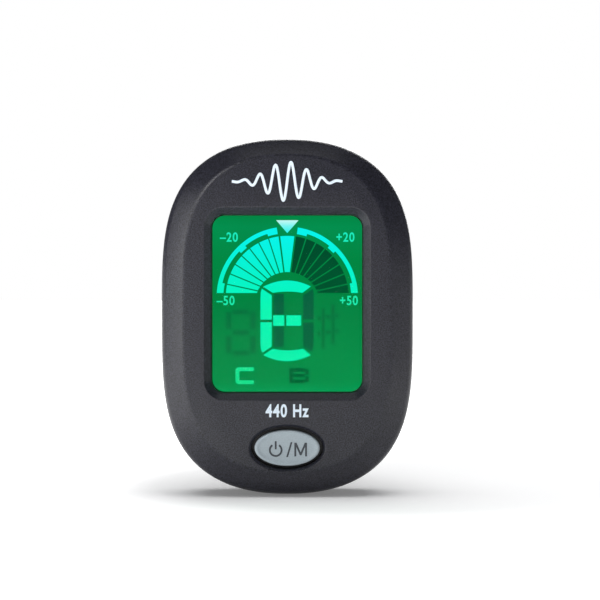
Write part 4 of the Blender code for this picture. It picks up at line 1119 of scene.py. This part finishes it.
def leverBend(z):
    share = max(0.0, (z - clip["bendStart"]) / (tailZ - clip["bendStart"]))
    return clip["bendRise"] * share ** 1.6


def makeBlade(low, high):
    # a flat bar with rounded ends and softened edges
    bm = bmesh.new()
    brick(bm, low, high)
    upright = [e for e in bm.edges if abs(e.verts[0].co.y - e.verts[1].co.y) > 1e-5]
    roundOver(bm, upright, clip["tipRound"], 10)
    rims = [e for e in bm.edges if abs(e.verts[0].co.y - e.verts[1].co.y) < 1e-6
            and len({round(f.normal.y, 2) for f in e.link_faces}) > 1]
    roundOver(bm, rims, clip["edgeRound"], 5)
    return bm


def sliceAcross(bm, low, high, count):
    for i in range(1, count):
        z = low + (high - low) * i / count
        bmesh.ops.bisect_plane(
            bm, geom=bm.verts[:] + bm.edges[:] + bm.faces[:], plane_co=(0, 0, z), plane_no=(0, 0, 1)
        )


def earTools(inner, webFrom, webTo):
    tools = []
    for side in (-1, 1):
        near, far = side * inner, side * (inner + clip["earThick"])
        radius = clip["earRadius"]
        web = bmesh.new()
        brick(
            web,
            (min(near, far), min(webFrom, webTo), hingeAt.z - radius),
            (max(near, far), max(webFrom, webTo), hingeAt.z + radius),
        )
        tools.append(tool(web))
        end = bmesh.new()
        rod(end, (near, hingeAt.y, hingeAt.z), (far, hingeAt.y, hingeAt.z), radius, 64)
        tools.append(tool(end))
    return tools


def pinHole():
    bm = bmesh.new()
    rod(bm, hingeAt - Vector((12 * mm, 0, 0)), hingeAt + Vector((12 * mm, 0, 0)), clip["pinHole"])
    return tool(bm)


def padPocket(faceAt):
    low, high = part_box("front_jaw_pad")
    grow = 0.15 * mm
    bm = bmesh.new()
    brick(
        bm,
        (low.x - grow, faceAt - clip["pocket"], low.z - grow),
        (high.x + grow, faceAt + clip["pocket"], high.z + grow),
    )
    corners = [e for e in bm.edges if abs(e.verts[0].co.y - e.verts[1].co.y) > 1e-5]
    roundOver(bm, corners, 1.1 * mm, 6)
    return tool(bm)


def makeFrontArm():
    half = clip["wide"] / 2
    bm = makeBlade((-half, armLow.y, armLow.z), (half, armBackY, tailZ))
    arm = addPiece("frontArm", bm, clipPlastic, "clip_arm", ["clip_front_arm"])
    carve(arm, "UNION", *earTools(clip["armEar"], armBackY - 1 * mm, hingeAt.y))
    seat = bmesh.new()
    rod(seat, (0, armBackY - 1.3 * mm, ballAt.z), (0, armBackY + 1 * mm, ballAt.z), 2.05 * mm)
    hole = bmesh.new()
    rod(hole, (0, armLow.y - 1 * mm, ballAt.z), (0, armBackY + 1 * mm, ballAt.z), 0.9 * mm)
    # a long shallow panel down the front face, broken by the ball stud's foot
    panel = bmesh.new()
    brick(panel, (-4.6 * mm, armLow.y - 1 * mm, armLow.z + 3.4 * mm),
          (4.6 * mm, armLow.y + 0.35 * mm, ballAt.z - 5.6 * mm))
    corners = [e for e in panel.edges if abs(e.verts[0].co.y - e.verts[1].co.y) > 1e-5]
    roundOver(panel, corners, 1.4 * mm, 6)
    carve(arm, "DIFFERENCE", pinHole(), tool(seat), tool(hole), padPocket(armBackY), tool(panel))
    soften(arm, 0.14 * mm, 3, 40)


leverGrip = {
    "ribs": 6,
    "pitch": 1.5 * mm,
    "wide": 7.8 * mm,
    "radius": 0.55 * mm,
    "first": 2.8 * mm,
    "sunk": 0.36 * mm,
}


def makeLever():
    half = clip["wide"] / 2
    outerY = leverY + clip["leverThick"]
    bm = makeBlade((-half, leverY, armLow.z), (half, outerY, tailZ))
    # a thumb panel sunk in the tail and a shallow one along the jaw
    lever = addPiece("lever", bm, clipPlastic, "clip_lever", ["clip_lever"])
    panels = []
    for low, high, sink in ((tailZ - 11.5 * mm, tailZ - 1.6 * mm, 0.3 * mm),
                            (armLow.z + 3.4 * mm, tailZ - 13.5 * mm, 0.3 * mm)):
        panel = bmesh.new()
        brick(panel, (-5.4 * mm, outerY - sink, low), (5.4 * mm, outerY + 1 * mm, high))
        corners = [e for e in panel.edges if abs(e.verts[0].co.y - e.verts[1].co.y) > 1e-5]
        roundOver(panel, corners, 1.6 * mm, 6)
        panels.append(tool(panel))
    carve(lever, "DIFFERENCE", padPocket(leverY), *panels)
    bm = bmesh.new()
    bm.from_mesh(lever.data)
    sliceAcross(bm, clip["bendStart"], tailZ, 28)
    for vert in bm.verts:
        vert.co.y += leverBend(vert.co.z)
    bm.to_mesh(lever.data)
    bm.free()
    earRoot = leverY + leverBend(hingeAt.z) + 1 * mm
    carve(lever, "UNION", *earTools(clip["leverEar"], hingeAt.y, earRoot))
    carve(lever, "DIFFERENCE", pinHole())
    soften(lever, 0.12 * mm, 3, 40)
    makeGripRibs(outerY)


def makeGripRibs(outerY):
    radius, half = leverGrip["radius"], leverGrip["wide"] / 2
    bm = bmesh.new()
    for i in range(leverGrip["ribs"]):
        z = tailZ - leverGrip["first"] - i * leverGrip["pitch"]
        y = outerY + leverBend(z) - leverGrip["sunk"]
        cap = [(radius * cos(a), radius * sin(a)) for a in (pi / 2 * k / 6 for k in range(7))]
        profile = [(r, half + along) for r, along in reversed(cap)]
        profile += [(r, -half - along) for r, along in cap]
        spun(bm, profile, (0, y, z), (1, 0, 0), segments=24)
    addPiece("gripRibs", bm, clipPlastic, "clip_lever")


def makePads():
    for name, node, body, facing in (
        ("frontPad", "front_jaw_pad", "clip_arm", 1), ("rearPad", "rear_jaw_pad", "clip_lever", -1),
    ):
        low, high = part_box(node)
        bm = bmesh.new()
        brick(bm, low, high)
        corners = [e for e in bm.edges if abs(e.verts[0].co.y - e.verts[1].co.y) > 1e-5]
        roundOver(bm, corners, 1.0 * mm, 6)
        pad = addPiece(name, bm, padRubber, body, [node])
        faceAt = high.y if facing > 0 else low.y
        middle = (low.z + high.z) / 2
        grooves = []
        for i in (-2, -1, 1, 2):
            groove = bmesh.new()
            z = middle + i * 2.2 * mm
            rod(groove, (low.x - 1 * mm, faceAt + facing * 0.12 * mm, z),
                (high.x + 1 * mm, faceAt + facing * 0.12 * mm, z), 0.5 * mm, 24)
            grooves.append(tool(groove))
        carve(pad, "DIFFERENCE", *grooves)
        soften(pad, 0.16 * mm, 3, 40)


def makeHingePin():
    low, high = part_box("hinge_pin")
    bm = bmesh.new()
    left, right = low.x, high.x
    spun(bm, [
        (0, right), (1.35 * mm, right), (1.7 * mm, right - 0.25 * mm), (1.7 * mm, right - 0.6 * mm),
        (1.0 * mm, right - 0.6 * mm), (1.0 * mm, left + 0.3 * mm), (0.7 * mm, left), (0, left),
    ], (0, hingeAt.y, hingeAt.z), (1, 0, 0), segments=48)
    piece = addPiece("hingePin", bm, pinSteel, "clip_arm", ["hinge_pin"])
    soften(piece, 0.06 * mm, 2, 30)


spring = {
    "wire": 0.4 * mm,
    "coil": 2.3 * mm,
    "turns": 4.5,
    "half": 2.3 * mm,
    "leg": 9.0 * mm,
    "armGap": 0.15 * mm,
    "leverGap": 0.5 * mm,
    "perTurn": 30,
}


def makeSpring():
    top = hingeAt.z + spring["leg"]
    armY = armBackY + spring["wire"] + spring["armGap"]
    leverLegY = leverY + leverBend(top) - spring["wire"] - spring["leverGap"]
    half, coil = spring["half"], spring["coil"]
    count = round(spring["perTurn"] * spring["turns"])
    points = [(-half, armY, top), (-half, armY, top - 2 * mm)]
    for i in range(count + 1):
        a = tau * spring["turns"] * i / count
        x = half * (2 * i / count - 1)
        points.append((x, hingeAt.y - coil * cos(a), hingeAt.z - coil * sin(a)))
    points.append((half, leverLegY, top))
    curve = bpy.data.curves.new("spring", "CURVE")
    curve.dimensions = "3D"
    curve.bevel_depth = spring["wire"]
    curve.bevel_resolution = 3
    curve.use_fill_caps = True
    spline = curve.splines.new("POLY")
    spline.points.add(len(points) - 1)
    for point, place in zip(spline.points, points):
        point.co = (*place, 1)
    holder = bpy.data.objects.new("spring", curve)
    bpy.context.scene.collection.objects.link(holder)
    graph = bpy.context.evaluated_depsgraph_get()
    mesh = bpy.data.meshes.new_from_object(holder.evaluated_get(graph))
    bpy.data.objects.remove(holder)
    bm = bmesh.new()
    bm.from_mesh(mesh)
    bpy.data.meshes.remove(mesh)
    piece = addPiece("torsionSpring", bm, springSteel, None, ["torsion_spring"])
    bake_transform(piece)


# ---------------- the pieces inside

def boardFinish():
    made, tree, shader = newFinish("circuitBoard", 0.35)
    tracks = objectNoise(tree, 0.9 * mm, 0.0, (1, 1, 3))
    tone = blendTones(
        tree, tracks, (0.45, linear(10, 72, 34)), (0.5, linear(22, 104, 52)), (0.62, linear(12, 78, 38)),
    )
    tree.links.new(tone, shader.inputs["Base Color"])
    bumpFrom(tree, shader, (tracks, 0.01 * mm))
    return made


def dressInside():
    backlight = glowFinish(
        "displayBack", (0.0, linear(2, 160, 86)), (0.06, linear(2, 146, 72)), (0.5, linear(2, 134, 65)),
        (0.75, linear(2, 138, 68)), (0.93, linear(3, 146, 80)), (1.0, linear(2, 138, 70)),
        low=-11.5 * mm, high=15.4 * mm, patch=0.035,
    )
    white = plasticFinish("whitePlastic", (linear(205, 205, 200), linear(222, 222, 216)), (0.4, 0.5),
                          0.3 * mm, 0.004 * mm)
    chip = plasticFinish("chipBlack", (linear(24, 24, 25), linear(34, 34, 35)), (0.5, 0.6),
                         0.15 * mm, 0.004 * mm)
    capacitor = plasticFinish("capacitorBrown", (linear(140, 112, 82), linear(160, 130, 98)),
                              (0.35, 0.45), 0.2 * mm, 0.002 * mm)
    ceramic = plasticFinish("piezoCeramic", (linear(208, 206, 196), linear(222, 220, 210)),
                            (0.4, 0.5), 0.2 * mm, 0.003 * mm)
    elastomer = plasticFinish("contactStrip", (linear(120, 120, 128), linear(70, 70, 76)), (0.6, 0.7),
                              0.3 * mm, 0.003 * mm)
    red = plasticFinish("wireRed", (linear(150, 22, 18), linear(176, 30, 24)), (0.4, 0.5),
                        0.3 * mm, 0.002 * mm)
    guide = clearFinish("lightGuide", linear(190, 235, 205), 0.5, 0.15, 0.5)
    glass = clearFinish("displayGlass", linear(30, 120, 70), 0.6, 0.05, 0.5)
    finishes = {
        "front_polariser": backlight,
        "rear_polariser": glass,
        "lcd_front_glass": glass,
        "lcd_rear_glass": glass,
        "light_guide": guide,
        "reflector_sheet": white,
        "backlight_led_1": white,
        "backlight_led_2": white,
        "lcd_frame": white,
        "zebra_connector": elastomer,
        "circuit_board": boardFinish(),
        "tuner_chip": chip,
        "mode_switch": chip,
        "switch_plunger": white,
        "crystal": cellSteel,
        "capacitor_1": capacitor,
        "capacitor_2": capacitor,
        "capacitor_3": capacitor,
        "capacitor_4": capacitor,
        "piezo_disc": contactBrass,
        "piezo_ceramic": ceramic,
        "piezo_wire_red": red,
        "piezo_wire_black": blackPlastic,
        "coin_cell": cellSteel,
        "negative_contact": contactBrass,
        "positive_contact": contactBrass,
        "cup_retainer": screwSteel,
        "retainer_screw_1": screwSteel,
        "retainer_screw_2": screwSteel,
    }
    for node, finish in finishes.items():
        mesh = frame["nodes"][node].data
        mesh.materials.clear()
        mesh.materials.append(finish)


# ---------------- studio

studio = {
    "lens": 100,
    "frameWide": 90.1 * mm,
    "cameraAcross": 1.93 * mm,
    "cameraUp": 2.48 * mm,
    "floorDrop": 0.25 * mm,
    "floorGlow": (0.17, 1.5),
    "glowReach": (36 * mm, 80 * mm),
    "glowFall": (-60 * mm, 30 * mm),
    "floorMiddle": (15 * mm, 20 * mm),
    "floorLight": 2.45,
    "floorSoftness": 62,
    "floorLightFrom": (0, 0.09, 1),
    "room": 0.15,
}
lamps = {
    "leftSoftbox": {"place": (-0.34, -0.20, 0.02), "size": (0.20, 0.36), "power": 0.75},
    "highSoftbox": {"place": (-0.21, -0.38, 0.20), "size": (0.06, 0.10), "power": 0.42},
    "topSoftbox": {"place": (0.0, -0.12, 0.40), "size": (0.3, 0.2), "power": 0.16},
    "rearFill": {"place": (0.10, 0.50, 0.26), "size": (0.4, 0.4), "power": 3.0},
}


def aimAt(holder, place, target):
    holder.location = place
    holder.rotation_euler = (target - Vector(place)).to_track_quat("-Z", "Y").to_euler()
    bpy.context.scene.collection.objects.link(holder)


def makeStudio():
    floorMesh = bpy.data.meshes.new("floor")
    bm = bmesh.new()
    bmesh.ops.create_grid(bm, x_segments=1, y_segments=1, size=60)
    bm.to_mesh(floorMesh)
    bm.free()
    made, tree, shader = newFinish("paleFloor", 0.9, specular=0.0)
    shader.inputs["Base Color"].default_value = (0.92, 0.92, 0.92, 1)
    shader.inputs["Emission Color"].default_value = (1, 1, 1, 1)
    # painted light: the floor glows more away from the object and most towards the left, a painted pool of
    # light that the head's lower and left bevels reflect; near the object the glow stays low, so the
    # overhead light's shadow stays dark there
    place = tree.nodes.new("ShaderNodeTexCoord")
    away = tree.nodes.new("ShaderNodeVectorMath")
    away.operation = "LENGTH"
    tree.links.new(place.outputs["Object"], away.inputs[0])
    near, far = studio["floorGlow"]
    glow = spread(tree, away.outputs["Value"], 0, 1, *studio["glowReach"])
    parted = tree.nodes.new("ShaderNodeSeparateXYZ")
    tree.links.new(place.outputs["Object"], parted.inputs["Vector"])
    side = spread(tree, parted.outputs["X"], far - near, 0.3 * (far - near), *studio["glowFall"])
    sum_ = tree.nodes.new("ShaderNodeMath")
    sum_.operation = "MULTIPLY_ADD"
    tree.links.new(glow, sum_.inputs[0])
    tree.links.new(side, sum_.inputs[1])
    sum_.inputs[2].default_value = near
    tree.links.new(sum_.outputs["Value"], shader.inputs["Emission Strength"])
    floorMesh.materials.append(made)
    floor = bpy.data.objects.new("floor", floorMesh)
    aside, behind = studio["floorMiddle"]
    floor.location = (aside, faceY + behind, cadLow.z - studio["floorDrop"])
    bpy.context.scene.collection.objects.link(floor)

    world = bpy.data.worlds.new("studio")
    bpy.context.scene.world = world
    world.use_nodes = True
    tree = world.node_tree
    room = tree.nodes["Background"]
    room.inputs["Color"].default_value = (0.93, 0.96, 1.0, 1)
    room.inputs["Strength"].default_value = studio["room"]
    white = tree.nodes.new("ShaderNodeBackground")
    white.inputs["Color"].default_value = (1, 1, 1, 1)
    rays = tree.nodes.new("ShaderNodeLightPath")
    mix = tree.nodes.new("ShaderNodeMixShader")
    tree.links.new(rays.outputs["Is Camera Ray"], mix.inputs["Fac"])
    tree.links.new(room.outputs["Background"], mix.inputs[1])
    tree.links.new(white.outputs["Background"], mix.inputs[2])
    tree.links.new(mix.outputs["Shader"], tree.nodes["World Output"].inputs["Surface"])

    # the softboxes light the object and the overhead light only the floor, as flags would
    onFloor = bpy.data.collections.new("litFromAbove")
    offFloor = bpy.data.collections.new("litBySoftboxes")
    for group, state in ((onFloor, "INCLUDE"), (offFloor, "EXCLUDE")):
        group.objects.link(floor)
        group.collection_objects[0].light_linking.link_state = state
    middle = Vector((0, faceY, headZ))
    for name, lamp in lamps.items():
        light = bpy.data.lights.new(name, "AREA")
        light.shape = "RECTANGLE"
        light.size, light.size_y = lamp["size"]
        light.energy = lamp["power"]
        holder = bpy.data.objects.new(name, light)
        aimAt(holder, middle + Vector(lamp["place"]), middle)
        holder.light_linking.receiver_collection = offFloor
    overhead = bpy.data.lights.new("overhead", "SUN")
    overhead.energy = studio["floorLight"]
    overhead.angle = radians(studio["floorSoftness"])
    holder = bpy.data.objects.new("overhead", overhead)
    aimAt(holder, studio["floorLightFrom"], Vector((0, 0, 0)))
    holder.light_linking.receiver_collection = onFloor

    camera = bpy.data.cameras.new("camera")
    camera.lens = studio["lens"]
    camera.sensor_width = 36
    camera.clip_start = 0.01
    away = studio["frameWide"] * studio["lens"] / 36
    holder = bpy.data.objects.new("camera", camera)
    place = middle + Vector((studio["cameraAcross"], -away, studio["cameraUp"]))
    aimAt(holder, place, place + Vector((0, 1, 0)))
    bpy.context.scene.camera = holder
    bpy.context.scene.view_settings.view_transform = "Standard"


print("head")
makeFrontShell()
makeRearShell()
makeBatteryDoor()
print("window and display")
makeWindow()
makeDisplay()
print("button and marks")
makeButton()
makeMarks()
print("screws")
makeScrews()
print("ball joint")
makeBallJoint()
print("clip")
makeFrontArm()
makeLever()
makePads()
makeHingePin()
makeSpring()
print("inside")
dressInside()
print("studio")
makeStudio()
